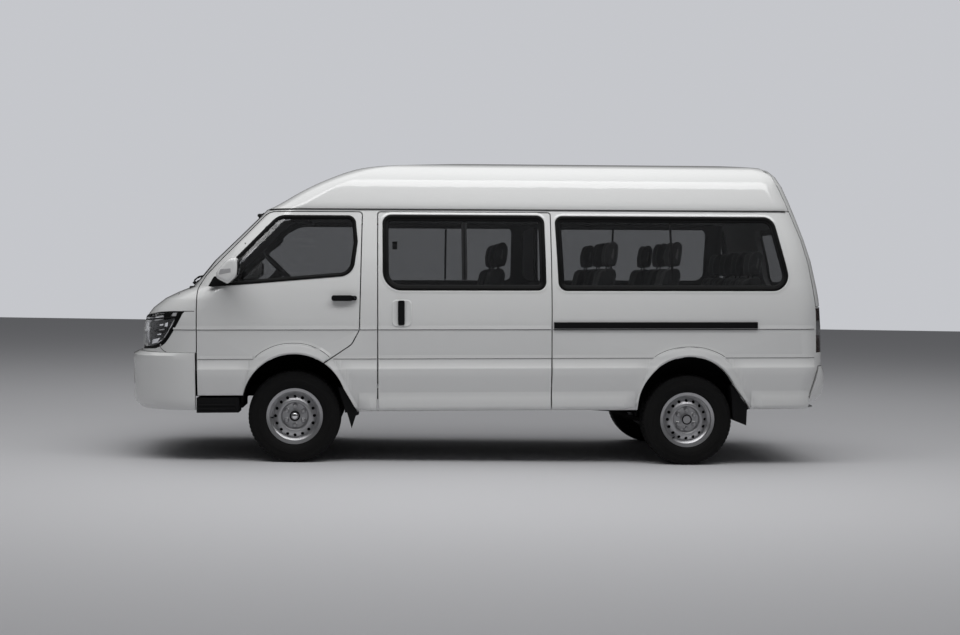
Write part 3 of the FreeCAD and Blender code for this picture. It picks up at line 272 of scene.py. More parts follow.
def makeSmoother():
    # joins a mesh's split vertices and shades it smooth but for its sharp edges
    group = bpy.data.node_groups.new("smoothByAngle", "GeometryNodeTree")
    for way in ("INPUT", "OUTPUT"):
        group.interface.new_socket("Geometry", in_out=way, socket_type="NodeSocketGeometry")
    source = group.nodes.new("NodeGroupInput").outputs[0]
    plain = addNode(group, "GeometryNodeRemoveAttribute", [("Geometry", source)])
    plain.inputs["Name"].default_value = "custom_normal"
    merged = addNode(group, "GeometryNodeMergeByDistance", [("Geometry", plain.outputs[0])], Distance=0.00002)
    smooth = addNode(group, "GeometryNodeSetShadeSmooth", [("Geometry", merged.outputs[0])], domain="FACE")
    turn = addNode(group, "GeometryNodeInputMeshEdgeAngle")
    sharp = addNode(group, "FunctionNodeCompare", [("A", turn.outputs[0])], operation="GREATER_THAN",
                    B=radians(24))
    edges = addNode(group, "GeometryNodeSetShadeSmooth", [("Geometry", smooth.outputs[0]),
                                                          ("Selection", sharp.outputs[0])],
                    domain="EDGE", Shade_Smooth=False)
    group.links.new(edges.outputs[0], group.nodes.new("NodeGroupOutput").inputs[0])
    return group


smoother = makeSmoother()


def smoothByAngle(obj):
    obj.modifiers.new("smoothByAngle", "NODES").node_group = smoother
    return obj


for name, node in nodes.items():
    node.data.materials.clear()
    node.data.materials.append(finishes[slotOf[name]])
    smoothByAngle(node)
print("materials done")


def addObject(name, shape, material, body="root", bevel=0, steps=2, level=True, smooth=None):
    # a mesh drawn in the level frame (or, for the wheels, in the row frame) that rides a body;
    # bevel is the width of its rounded edges
    points, faces = shape
    mesh = bpy.data.meshes.new(name)
    matrix = bodyMatrix if level else Matrix()
    mesh.from_pydata([matrix @ Vector(p) for p in points], [], faces)
    form = bmesh.new()
    form.from_mesh(mesh)
    bmesh.ops.remove_doubles(form, verts=form.verts, dist=1e-6)
    bmesh.ops.recalc_face_normals(form, faces=form.faces)
    form.to_mesh(mesh)
    form.free()
    mesh.materials.append(material)
    if smooth or (smooth is None and not bevel):
        mesh.shade_smooth()
    obj = linked(name, mesh, body)
    if bevel:
        edges = obj.modifiers.new("edges", "BEVEL")
        edges.width = bevel
        edges.segments = steps
        edges.limit_method = "ANGLE"
        edges.angle_limit = radians(28)
        edges.harden_normals = True
    return obj


def linked(name, mesh, body, matrix=Matrix()):
    obj = bpy.data.objects.new(name, mesh)
    obj.matrix_world = matrix
    scene.collection.objects.link(obj)
    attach(obj, body)
    return obj


def thicken(obj, thickness):
    obj.modifiers.new("thickness", "SOLIDIFY").thickness = thickness
    return obj


def ringFaces(rings, n):
    # between closed rings of n points
    return [(i * n + k, i * n + (k + 1) % n, (i + 1) * n + (k + 1) % n, (i + 1) * n + k)
            for i in range(rings - 1) for k in range(n)]


def gridFaces(columns, n):
    # between open columns of n points
    return [(i * n + j, (i + 1) * n + j, (i + 1) * n + j + 1, i * n + j + 1)
            for i in range(columns - 1) for j in range(n - 1)]


def circle(count, start=0.0):
    # cosine and sine at even turns; start is a share of one step
    turns = [2 * pi * (k + start) / count for k in range(count)]
    return [(cos(turn), sin(turn)) for turn in turns]


def rounded(corners, steps=6):
    # a closed outline of (a, b, corner radius) with each corner drawn as an arc
    outline = []
    for i, (a, b, r) in enumerate(corners):
        here = Vector((a, b))
        before = (Vector(corners[i - 1][:2]) - here).normalized()
        after = (Vector(corners[(i + 1) % len(corners)][:2]) - here).normalized()
        half = before.angle(after) / 2
        centre = here + (before + after).normalized() * r / sin(half)
        start = here + before * r * cos(half) / sin(half) - centre
        end = here + after * r * cos(half) / sin(half) - centre
        sweep = start.angle_signed(end)
        for k in range(steps + 1):
            turn = -sweep * k / steps
            outline.append(centre + Vector((start.x * cos(turn) - start.y * sin(turn),
                                            start.x * sin(turn) + start.y * cos(turn))))
    return outline


def roundBox(a0, b0, a1, b1, r):
    return rounded([(a0, b0, r), (a1, b0, r), (a1, b1, r), (a0, b1, r)])


def curved(path, times=3):
    # corners cut to make a smooth path through few points
    for k in range(times):
        cut = [path[0]]
        for (x0, z0), (x1, z1) in zip(path, path[1:]):
            cut += [(x0 * 0.75 + x1 * 0.25, z0 * 0.75 + z1 * 0.25),
                    (x0 * 0.25 + x1 * 0.75, z0 * 0.25 + z1 * 0.75)]
        path = cut + [path[-1]]
    return path


def slab(outline, low, high, plane="xz"):
    # an outline drawn through from low to high: points and faces
    def at(a, b, c):
        return (a, c, b) if plane == "xz" else (c, a, b)
    n = len(outline)
    points = [at(a, b, low) for a, b in outline] + [at(a, b, high) for a, b in outline]
    walls = [(i, (i + 1) % n, (i + 1) % n + n, i + n) for i in range(n)]
    return points, walls + [tuple(range(n)), tuple(range(2 * n - 1, n - 1, -1))]


def boxAt(low, high):
    outline = [(low[0], low[2]), (high[0], low[2]), (high[0], high[2]), (low[0], high[2])]
    return slab(outline, low[1], high[1])


def tube(path, radius, count=10):
    # a round bar through points; ends closed
    points = []
    path = [Vector(p) for p in path]
    for i, p in enumerate(path):
        ahead = (path[min(i + 1, len(path) - 1)] - path[max(i - 1, 0)]).normalized()
        side = ahead.orthogonal().normalized() if i == 0 else (side - ahead * side.dot(ahead)).normalized()
        other = ahead.cross(side)
        points += [p + (side * c + other * s) * radius for c, s in circle(count)]
    last = (len(path) - 1) * count
    return points, ringFaces(len(path), count) + [tuple(range(count)), tuple(range(last, last + count))]


def joined(parts):
    # several (points, faces) as one
    points, faces = [], []
    for p, f in parts:
        start = len(points)
        points += list(p)
        faces += [tuple(start + i for i in face) for face in f]
    return points, faces


def turned(section, centre, out, count=64):
    # (distance outward, radius) turned about a wheel's axle; out is its outward side, -1 or 1
    points = [(centre.x + r * c, centre.y + out * d, centre.z + r * s)
              for d, r in section for c, s in circle(count)]
    return points, ringFaces(len(section), count)


def skinTree(*names):
    # the outside of CAD nodes, to set trim on, in the level frame
    points, faces = [], []
    for name in names:
        start = len(points)
        points += [levelMatrix @ v.co for v in nodes[name].data.vertices]
        faces += [[start + i for i in p.vertices] for p in nodes[name].data.polygons]
    return BVHTree.FromPolygons(points, faces)


wallNames = ("side_left", "side_right", "door_sliding", "door_front_left", "door_front_right", "front_body",
             "glass_sliding", "glass_mid_right", "glass_rear_left", "glass_rear_right", "bumper_front")
wallSkin = skinTree(*wallNames)
wallOwner = [name for name in wallNames for p in nodes[name].data.polygons]
tailSkin = skinTree("tailgate", "glass_tailgate", "bumper_rear")
noseSkin = skinTree("front_body", "bonnet", "bumper_front", "windscreen", "grille", "roof")


def wallHit(skin, x, z, side):
    # from outside onto one side: point, outward normal and face; side is -1 on the left
    hit, normal, index = skin.ray_cast(Vector((x, 2 * side, z)), Vector((0, -side, 0)))[:3]
    if hit is None:
        return None, None, None
    return hit, normal if normal.y * side > 0 else -normal, index


def onWall(x, z, side):
    return wallHit(wallSkin, x, z, side)[:2]


def onTail(y, z):
    hit, normal = tailSkin.ray_cast(Vector((6, y, z)), Vector((-1, 0, 0)))[:2]
    return hit, normal if normal.x > 0 else -normal


def onNose(y, z):
    hit, normal = noseSkin.ray_cast(Vector((-3, y, z)), Vector((1, 0, 0)))[:2]
    return hit, normal if normal.x < 0 else -normal


mergeReach = 2e-5
loopStep = 0.009
tightWidth = 0.008                     # an offset this wide can fold over itself in a corner


def rimLoop(node, outward):
    # the edge of a pane's outer face: points and outward normals in the level frame, in order
    shape = bmesh.new()
    shape.from_mesh(nodes[node].data)
    shape.transform(levelMatrix)
    bmesh.ops.remove_doubles(shape, verts=shape.verts, dist=mergeReach)
    shape.normal_update()
    bmesh.ops.delete(shape, geom=[f for f in shape.faces if f.normal.dot(outward) < 0.45], context="FACES")
    shape.normal_update()
    edges = {}
    for edge in shape.edges:
        if edge.is_boundary:
            for vertex in edge.verts:
                edges.setdefault(vertex, []).append(edge)
    start = next(iter(edges))
    chain, came = [start], None
    while True:
        edge = next(e for e in edges[chain[-1]] if e is not came)
        vertex = edge.other_vert(chain[-1])
        came = edge
        if vertex is start:
            break
        chain.append(vertex)
    loop = [(v.co.copy(), v.normal.copy()) for v in chain]
    shape.free()
    return evenly(loop, loopStep)


def evenly(loop, step):
    # the same loop with its points at even distances
    lengths = [(loop[(i + 1) % len(loop)][0] - p).length for i, (p, n) in enumerate(loop)]
    count = max(12, round(sum(lengths) / step))
    spaced, i, passed = [], 0, 0.0
    for k in range(count):
        target = sum(lengths) * k / count
        while passed + lengths[i] < target:
            passed += lengths[i]
            i += 1
        share = (target - passed) / max(lengths[i], 1e-9)
        (p, n), (q, m) = loop[i], loop[(i + 1) % len(loop)]
        spaced.append((p.lerp(q, share), n.lerp(m, share).normalized()))
    return spaced


def offsetLoop(loop, width, lift):
    # the loop moved inward over the pane by width and outward from it by lift
    middle = sum((p for p, n in loop), Vector()) / len(loop)
    count = len(loop)
    inward = []
    for i, (p, n) in enumerate(loop):
        ahead = (loop[(i + 1) % count][0] - loop[i - 1][0]).normalized()
        inward.append(n.cross(ahead).normalized())
    turnWay = 1 if sum(inward[i].dot(middle - p) for i, (p, n) in enumerate(loop)) > 0 else -1
    moved = [p + inward[i] * turnWay * width for i, (p, n) in enumerate(loop)]
    if width > tightWidth:
        tree = KDTree(count)
        for i, (p, n) in enumerate(loop):
            tree.insert(p, i)
        tree.balance()
        good = [tree.find(q)[2] > width - 0.0006 for q in moved]
        for i in range(count):
            if not good[i]:
                near = min((j for j in range(count) if good[j]),
                           key=lambda j: min(abs(j - i), count - abs(j - i)))
                moved[i] = moved[near].copy()
    return [q + loop[i][1] * lift for i, q in enumerate(moved)]


def sweepLoop(loop, section):
    # a strip round a loop; section is (inward, outward) pairs
    points = [p for width, lift in section for p in offsetLoop(loop, width, lift)]
    return points, ringFaces(len(section), len(loop))


# Panes: node, body, outward direction, rubber width, width to the inner edge of the black border.
panes = [
    ("glass_front_left", "door_front_left", (0, -1, 0), 0.020, 0.026),
    ("glass_front_right", "door_front_right", (0, 1, 0), 0.020, 0.026),
    ("glass_sliding", "root", (0, -1, 0), 0.022, 0.040),
    ("glass_mid_right", "root", (0, 1, 0), 0.022, 0.040),
    ("glass_rear_left", "root", (0, -1, 0), 0.022, 0.040),
    ("glass_rear_right", "root", (0, 1, 0), 0.022, 0.040),
    ("windscreen", "root", (-0.7, 0, 0.7), 0.020, 0.050),
    ("glass_tailgate", "tailgate", (1, 0, 0.2), 0.022, 0.045)]
skinLift = 0.0042                      # the body's skin stands this far outside the pane
crown = skinLift + 0.0045              # top of the rubber
paneFace = 0.0004
paneBack = -0.0054


def makeGasket(node, body, outward, width, border):
    loop = rimLoop(node, Vector(outward).normalized())
    section = [(-0.004, skinLift - 0.001), (-0.005, crown - 0.002), (-0.002, crown),
               (width * 0.5, crown - 0.0008), (width - 0.004, crown - 0.003),
               (width, 0.0012), (width, paneFace)]
    addObject(node + "_rubber", sweepLoop(loop, section), rubber, body)
    band = [(width - 0.003, paneFace), (border, paneFace), (border, paneBack), (width - 0.003, paneBack)]
    addObject(node + "_border", sweepLoop(loop, band), blackTrim, body)


for pane in panes:
    makeGasket(*pane)
print("window rubbers done")

# The linings' openings: x from and to, low z, high z, corner.
liningHoles = {"left": [(0.675, 1.845, 1.300, 1.800, 0.05), (1.945, 3.640, 1.300, 1.800, 0.07)],
               "right": [(0.68, 1.741, 1.338, 1.784, 0.05), (1.843, 3.423, 1.338, 1.784, 0.07)]}


def applyModifiers(obj):
    bpy.context.view_layer.update()
    depsgraph = bpy.context.evaluated_depsgraph_get()
    mesh = bpy.data.meshes.new_from_object(obj.evaluated_get(depsgraph))
    obj.modifiers.clear()
    obj.data = mesh


def makeLining(side, label):
    # the cabin's inner wall, a curved sheet behind the skin with its windows cut out
    step, inset, skinTop = 0.05, 0.045, 1.835
    xs = [0.62 + step * i for i in range(60)]
    zs = [0.60 + step * i for i in range(26)]
    column = [onWall(1.4, min(z, skinTop), side)[0].y - side * inset for z in zs]
    points = [(x, y, z) for x in xs for y, z in zip(column, zs)]
    faces = [face for face in gridFaces(len(xs), len(zs))
             if not (2.45 < points[face[0]][0] < 3.45 and points[face[0]][2] < 0.87)]    # over the rear wheel
    wall = thicken(addObject("wall_lining_" + label, (points, faces), lining), 0.012)
    wall.modifiers["thickness"].offset = 0
    for x0, x1, z0, z1, r in liningHoles[label]:
        cutter = addObject("cutter", slab(roundBox(x0, z0, x1, z1, r), side * 0.5, side * 1.2), lining)
        cut = wall.modifiers.new("window", "BOOLEAN")
        cut.object = cutter
        cut.operation = "DIFFERENCE"
        applyModifiers(wall)
        bpy.data.objects.remove(cutter)


for side, label in sides:
    makeLining(side, label)


def makeHeadlining():
    # the ceiling: an arch from one wall's top to the other, under the roof skin
    points = []
    roofSkin = skinTree("roof")
    xs = [0.12 * i for i in range(30)]
    arch = 12
    halfWidth, drop, highest, edge = 0.64, 0.06, 2.12, 1.86
    for x in xs:
        for j in range(arch + 1):
            y = -halfWidth + 2 * halfWidth * j / arch
            hit = roofSkin.ray_cast(Vector((x, y, 3)), Vector((0, 0, -1)))[0]
            points.append((x, y, min(hit.z - drop, highest) if hit else edge))
    thicken(addObject("headlining", (points, gridFaces(len(xs), arch + 1)), lining), 0.008)
    n = len(xs)
    for side, label in sides:
        rail = [(x, side * halfWidth, z) for z in (1.80, 1.90) for x in xs]
        strip = [(i, i + 1, n + i + 1, n + i) for i in range(n - 1)]
        thicken(addObject("cant_rail_" + label, (rail, strip), lining), 0.02)


makeHeadlining()
print("cabin lining done")

# Seats: back x at the cushion, cushion top z, back top z, and the y of each seat.
seatRows = [(0.430, 1.090, 1.640, (-0.400, 0.400)), (1.390, 0.985, 1.640, (-0.230, 0.230, 0.560)),
            (2.200, 0.985, 1.640, (-0.540, -0.090, 0.540)), (2.690, 0.985, 1.640, (-0.540, -0.090, 0.540)),
            (3.330, 0.985, 1.570, (-0.540, -0.180, 0.180, 0.540))]
seatHalf = 0.21
headHalf = 0.130
lean = 0.26                            # of the backrest, along to up
headRoom = 0.190                       # of the headrest above the back
padShrink = 0.006
padVoxel = 0.011
padCap = 0.022
padPressure = 4
padSteps = 20


def inflate(name, outline, halfWidth):
    # a stuffed form: an outline across the seat's width, remeshed and blown up as cloth
    points, faces = slab(rounded(outline, 4), -halfWidth + padShrink, halfWidth - padShrink)
    mesh = bpy.data.meshes.new(name)
    mesh.from_pydata(points, [], faces)
    obj = bpy.data.objects.new(name, mesh)
    scene.collection.objects.link(obj)
    remesh = obj.modifiers.new("remesh", "REMESH")
    remesh.mode = "VOXEL"
    remesh.voxel_size = padVoxel
    applyModifiers(obj)
    before = [v.co.copy() for v in obj.data.vertices]
    pad = obj.modifiers.new("cloth", "CLOTH")
    pad.settings.use_pressure = True
    pad.settings.uniform_pressure_force = padPressure
    pad.settings.effector_weights.gravity = 0
    for step in range(1, padSteps + 1):
        scene.frame_set(step)
    applyModifiers(obj)
    scene.frame_set(1)
    for vertex, rest in zip(obj.data.vertices, before):
        move = vertex.co - rest
        if move.length > padCap:
            vertex.co = rest + move.normalized() * padCap
    finished = obj.data
    finished.shade_smooth()
    finished.materials.clear()
    finished.materials.append(cloth)
    bpy.data.objects.remove(obj)
    return finished


def seatFrame(x, y, base, cushionTop, xHead, backTop):
    # headrest posts, legs and the bars under the cushion
    parts = [tube([(xHead + 0.030, y + s, backTop - 0.215), (xHead + 0.036, y + s, backTop - 0.165)], 0.006)
             for s in (-0.06, 0.06)]
    inboard = -((y > 0.5) - (y < -0.5)) * 0.110
    for a in (0.02, 0.35):
        for b in (-0.03, 0.03):
            parts.append(boxAt((x - a - 0.03, y + inboard + b - 0.015, base),
                               (x - a, y + inboard + b + 0.015, cushionTop - 0.112)))
    for s in (-0.16, 0.16):
        parts.append(boxAt((x - 0.40, y + s - 0.012, cushionTop - 0.135),
                           (x - 0.01, y + s + 0.012, cushionTop - 0.108)))
    for a in (0.03, 0.36):
        parts.append(boxAt((x - a - 0.03, y - 0.16, cushionTop - 0.140),
                           (x - a, y + 0.16, cushionTop - 0.118)))
    return joined(parts)


def makeSeats():
    cushionMesh = inflate("cushion", [(-0.424, -0.114, 0.03), (0.014, -0.114, 0.03), (0.014, -0.008, 0.03),
                                      (-0.424, -0.008, 0.045)], seatHalf)
    headMesh = inflate("headrest", [(0.003, -0.194, 0.012), (0.073, -0.194, 0.012), (0.094, -0.006, 0.035),
                                    (0.022, -0.006, 0.035)], headHalf)
    backs = {}
    count = 0
    for x, cushionTop, backTop, places in seatRows:
        rise = backTop - headRoom - cushionTop
        if rise not in backs:
            backs[rise] = inflate("backrest", [(-0.015, -0.054, 0.02), (0.081, -0.054, 0.03),
                                               (0.072 + lean * rise, rise - 0.002, 0.022),
                                               (-0.006 + lean * rise, rise - 0.002, 0.022)], seatHalf)
        base, node = (0.862, "seats_front") if x < 1 else (0.575, "seats_rear")
        xHead = x + lean * rise + 0.005
        for y in places:
            count += 1
            name = "seat_%02d" % count
            for suffix, mesh, spot in (("_cushion", cushionMesh, (x, y, cushionTop)),
                                       ("_back", backs[rise], (x, y, cushionTop)),
                                       ("_head", headMesh, (xHead, y, backTop))):
                obj = linked(name + suffix, mesh, "root", bodyMatrix @ Matrix.Translation(spot))
                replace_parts(obj, node)
            addObject(name + "_frame", seatFrame(x, y, base, cushionTop, xHead, backTop), blackTrim,
                      bevel=0.002)


makeSeats()
print("seats done")

# A tyre's side as (distance outward, radius), and the middles of its tread's grooves.
wheels = [("front_left", -1), ("front_right", 1), ("rear_left", -1), ("rear_right", 1)]
sidewall = [(0.0715, 0.2055), (0.0800, 0.2120), (0.0845, 0.2170), (0.0860, 0.2230), (0.0915, 0.2340),
            (0.0960, 0.2500), (0.0962, 0.2620), (0.0975, 0.2640), (0.0975, 0.2670), (0.0960, 0.2690),
            (0.0945, 0.2850), (0.0920, 0.3020), (0.0922, 0.3050), (0.0900, 0.3080), (0.0868, 0.3200),
            (0.0820, 0.3290), (0.0770, 0.3345)]
treadGrooves = (-0.048, -0.017, 0.017, 0.048)
treadHalf = 0.0715
treadPitches = 66
stepsPerPitch = 4
grooveDepth, lugDepth, shoulderDepth = 0.008, 0.006, 0.0035
grooveHalf, ribHalf, staggerHalf = 0.004, 0.010, 0.033    # half widths across the tread
shoulderRadius = 0.318


def wheelCentre(place):
    low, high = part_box("tyre_" + place)
    return (low + high) / 2


def makeTyre(place, out):
    # sidewalls with ribs, a rounded shoulder and a tread of blocks
    centre = wheelCentre(place)
    grooveEdges = [g + s for g in treadGrooves for s in (-0.0055, -0.0035, 0.0035, 0.0055)]
    tread = sorted(grooveEdges + [-treadHalf, -0.0600, 0.0, 0.0600, treadHalf])
    section = [(-d, r) for d, r in sidewall] + [(d, None) for d in tread] + sidewall[::-1]
    count = treadPitches * stepsPerPitch
    points = []
    for d, r in section:
        for k, (c, s) in enumerate(circle(count, 0.5)):
            radius = r
            if r is None:
                top = wheelRadius - shoulderDepth * (d / treadHalf) ** 2
                inGroove = any(abs(d - g) < grooveHalf for g in treadGrooves)
                stagger = 2 if abs(d) < staggerHalf else 0
                inGap = (k + stagger) % stepsPerPitch == 0 and abs(d) > ribHalf
                radius = top - (grooveDepth if inGroove else lugDepth if inGap else 0)
            elif r > shoulderRadius:
                radius = r - (shoulderDepth if k % stepsPerPitch == 0 else 0)
            points.append((centre.x + radius * c, centre.y + out * d, centre.z + radius * s))
    tyre = addObject("dressed_tyre_" + place, (points, ringFaces(len(section), count)), tyreRubber,
                     "wheel_" + place, level=False)
    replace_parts(smoothByAngle(tyre), "tyre_" + place)


# Hub trim as (distance outward, radius).
hubRing = [(0.0622, 0.0385), (0.0650, 0.0375), (0.0650, 0.0290)]
hubCap = [(0.0630, 0.0255), (0.0700, 0.0225), (0.0745, 0.0160), (0.0765, 0.0080), (0.0770, 0.0001)]
wheelNut = [(0.0300, 0.0200), (0.0330, 0.0165), (0.0490, 0.0130), (0.0540, 0.0118), (0.0560, 0.0078),
            (0.0560, 0.0066), (0.0630, 0.0062), (0.0640, 0.0001)]
ventShade = [(0.0000, 0.159), (0.0000, 0.104)]
nutCount, nutCircle = 6, 0.070


def makeHub(place, out):
    # hub cap, wheel nuts, a dark ring of painted shade behind the vents, and valve on the CAD rim
    centre = wheelCentre(place)
    front = place.startswith("front")

    def add(suffix, shape, material):
        return addObject("hub_" + place + suffix, shape, material, "wheel_" + place, level=False)
    if front:
        add("_ring", turned(hubRing + [(0.0600, 0.0265)], centre, out), blackTrim)
        add("_cap", turned(hubCap, centre, out), chrome)
    else:
        add("_ring", turned(hubRing + [(0.0400, 0.0265), (0.0400, 0.0001)], centre, out), blackTrim)
    nuts = [turned(wheelNut, centre + Vector((c, 0, s)) * nutCircle, out, 12)
            for c, s in circle(nutCount, 0.5)]
    smoothByAngle(add("_studs", joined(nuts), rimSilver))
    add("_vent_shade", turned(ventShade, centre, out), blackTrim)
    turn = radians(20 if out > 0 else 185 if front else 235)
    way = Vector((cos(turn), 0, sin(turn)))
    start = centre + way * 0.176 + Vector((0, out * 0.030, 0))
    end = centre + way * 0.160 + Vector((0, out * 0.062, 0))
    add("_valve", tube([start, start.lerp(end, 0.7), end], 0.0055), blackTrim)


for place, out in wheels:
    makeTyre(place, out)
    makeHub(place, out)
print("wheels done")

# Front lamps: their outline's edges as (x, z), seen from the side, and the axis they curve round.
lampTop = [(-1.25, 1.064), (-0.815, 1.108)]
lampBottom = [(-1.25, 0.822), (-1.01, 0.836), (-0.93, 0.905), (-0.815, 1.108)]
lampPivot = (-0.72, 0.36)
lampStart, lampSweep = 6, 74.5
patchRows = 6


def heightAt(line, x):
    for (x0, z0), (x1, z1) in zip(line, line[1:]):
        if x <= x1:
            return z0 + (z1 - z0) * max(0.0, (x - x0) / (x1 - x0))
    return line[-1][1]


def lampPoint(skin, side, t, f, depth):
    # t runs from the grille round to the wing, f from the bottom edge to the top edge
    turn = radians(lampStart + lampSweep * t)
    way = Vector((-cos(turn), side * sin(turn), 0))
    hit = Vector((lampPivot[0], side * lampPivot[1], 1.06)) + way * 0.42
    for k in range(3):
        z = heightAt(lampBottom, hit.x) * (1 - f) + heightAt(lampTop, hit.x) * f
        start = Vector((lampPivot[0], side * lampPivot[1], z))
        hit = skin.ray_cast(start + way * 1.2, -way)[0] or skin.find_nearest(start + way * 0.5)[0]
    return hit - way * depth


def lampPatch(skin, side, t0, t1, f0, f1, depth, columns=16):
    points = [lampPoint(skin, side, t0 + (t1 - t0) * i / columns, f0 + (f1 - f0) * j / patchRows, depth)
              for i in range(columns + 1) for j in range(patchRows + 1)]
    return points, gridFaces(columns + 1, patchRows + 1)


def dish(centre, way, radius, depth, count=40):
    # a bowl that faces along way, with its rim at centre
    side = way.orthogonal().normalized()
    other = way.cross(side)
    rings = [(radius * s, -depth * (1 - s * s)) for s in (1, 0.92, 0.8, 0.65, 0.5, 0.35, 0.2, 0.08)]
    points = [centre + way * d + (side * c + other * s) * r for r, d in rings for c, s in circle(count)]
    last = (len(rings) - 1) * count
    return points, ringFaces(len(rings), count) + [tuple(range(last, last + count))]


# A headlamp's sheets: suffix, finish, and each patch's t and f ranges, depth and columns.
lampSheets = [
    ("_housing", blackTrim, [(0.0, 1.0, 0.015, 0.985, 0.034)]),
    ("_strip", clearLens, [(0.03, 0.40, 0.80, 0.90, 0.008), (0.50, 0.93, 0.80, 0.90, 0.008),
                           (0.80, 0.97, 0.10, 0.22, 0.008, 8)]),
    ("_bezel", blackTrim, [(0.0, 1.0, 0.93, 1.0, 0.004), (0.0, 1.0, 0.0, 0.07, 0.004)])]
# Its lights: t, f, bowl radius, bulb radius.
lampLights = [(0.25, 0.42, 0.066, 0.020), (0.62, 0.46, 0.050, 0.016)]


def makeHeadlamp(side, label):
    name = "headlamp_" + label
    skin = skinTree("headlamps")
    for suffix, material, patches in lampSheets:
        sheet = joined([lampPatch(skin, side, *patch) for patch in patches])
        thicken(addObject(name + suffix, sheet, material), 0.002)
    way = Vector((-0.86, side * 0.5, 0)).normalized()
    bowls = [dish(lampPoint(skin, side, t, f, 0.016) - way * 0.004, way, bowl, 0.030)
             for t, f, bowl, bulb in lampLights]
    bulbs = [dish(lampPoint(skin, side, t, f, 0.018) - way * 0.014, -way, bulb, 0.012, 20)
             for t, f, bowl, bulb in lampLights]
    addObject(name + "_reflectors", joined(bowls), chrome)
    addObject(name + "_bulbs", joined(bulbs), clearLens)


def makeLampLens():
    # the outer faces of the CAD lamps as thin lenses
    shape = bmesh.new()
    shape.from_mesh(nodes["headlamps"].data)
    bmesh.ops.remove_doubles(shape, verts=shape.verts, dist=mergeReach)
    shape.normal_update()
    inner = []
    for face in shape.faces:
        middle = levelMatrix @ face.calc_center_median()
        pivot = lampPivot[1] if middle.y > 0 else -lampPivot[1]
        way = Vector((middle.x - lampPivot[0], middle.y - pivot, 0))
        if face.normal.dot(way.normalized()) < 0.5:
            inner.append(face)
    bmesh.ops.delete(shape, geom=inner, context="FACES")
    mesh = bpy.data.meshes.new("lamp_lenses")
    shape.to_mesh(mesh)
    shape.free()
    mesh.materials.append(lens)
    mesh.shade_smooth()
    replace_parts(thicken(linked("lamp_lenses", mesh, "root"), 0.003), "headlamps")


for side, label in sides:
    makeHeadlamp(side, label)
makeLampLens()
print("lamps done")


def makeDoorHandle(side, body):
    # a pull bar on two feet over a shallow black plate, with the lock beside it
    x0, x1, z0, z1 = 0.273, 0.457, 1.187, 1.229
    skin = onWall((x0 + x1) / 2, z0, side)[0].y
    low, high = z0 + 0.004, z1 - 0.004
    plate = roundBox(x0 + 0.012, low, x1, high, 0.014)
    barEnd, lockStart = x1 - 0.034, x1 - 0.030
    bar = rounded([(x0, z0, 0.017), (barEnd, z0, 0.010), (barEnd, z1, 0.010), (x0, z1, 0.017)])
    lock = rounded([(lockStart, low, 0.012), (x1, low, 0.014), (x1, high, 0.014), (lockStart, high, 0.012)])
    parts = [slab(plate, skin - side * 0.004, skin + side * 0.005),
             slab(bar, skin + side * 0.018, skin + side * 0.034), slab(lock, skin, skin + side * 0.022)]
    y0, y1 = sorted((skin, skin + side * 0.024))
    for x in (x0 + 0.020, x1 - 0.050):
        parts.append(boxAt((x - 0.014, y0, z0 + 0.006), (x + 0.014, y1, z1 - 0.006)))
    addObject(body + "_handle", joined(parts), blackTrim, body, bevel=0.005, steps=3)
    barrel = [(x1 - 0.015, skin + side * reach, (z0 + z1) / 2) for reach in (0.020, 0.024)]
    addObject(body + "_lock", tube(barrel, 0.007, 20), chrome, body, smooth=False)


# The sliding door's cup: its size across, and its height off the skin.
cupRings = [(1.0, 0.0005), (0.975, 0.0045), (0.94, 0.0050), (0.88, 0.0038), (0.74, 0.0020), (0.5, 0.0010)]


def makeSlidingHandle():
    # a dished cup in the panel with an upright bar across it, and the slide rail's lip
    x0, x1, z0, z1 = 0.712, 0.856, 0.998, 1.196
    middle = Vector(((x0 + x1) / 2, (z0 + z1) / 2))
    cup = roundBox(x0, z0, x1, z1, 0.035)
    points = []
    for s, lift in cupRings:
        for p in cup:
            hit, normal = onWall(*(middle + (p - middle) * s), -1)
            points.append(hit + normal * lift)
    n = len(cup)
    bottom = tuple(range((len(cupRings) - 1) * n, len(cupRings) * n))
    addObject("sliding_door_cup", (points, ringFaces(len(cupRings), n) + [bottom]), paint)
    skin = onWall(middle.x, middle.y, -1)[0].y
    bar = roundBox(0.756, 1.011, 0.805, 1.191, 0.010)
    addObject("sliding_door_handle", slab(bar, skin - 0.001, skin - 0.015), blackTrim, bevel=0.004, steps=3)
    addObject("slide_rail_lip", boxAt((1.906, -0.8495, 0.971), (3.437, -0.840, 0.9785)), blackTrim,
              smooth=False)


for side, label in sides:
    makeDoorHandle(side, "door_front_" + label)
makeSlidingHandle()


def makeWipers():
    # arms from the cowl, blades along the foot of the screen
    stops = 8
    for name, yPivot, yEnd in (("left", -0.42, 0.08), ("right", 0.12, 0.58)):
        path = []
        for k in range(stops + 1):
            hit, normal = onNose(yPivot + (yEnd - yPivot) * k / stops, 1.345 + 0.02 * k / stops)
            path.append(hit + normal * (0.020 - 0.006 * k / stops))
        pivot, normal = onNose(yPivot, 1.312)
        pivot = pivot + normal * 0.012
        arm = tube([pivot, pivot + Vector((-0.004, (yEnd - yPivot) * 0.08, 0.018))] + path[2:5], 0.006, 8)
        blade = tube(path, 0.005, 8)
        strip = tube([p - Vector((-0.004, 0, 0.006)) for p in path], 0.003, 6)
        boss = tube([pivot - normal * 0.010, pivot + normal * 0.010], 0.013, 16)
        addObject("wiper_" + name, joined([arm, blade, strip, boss]), blackTrim)


makeWipers()

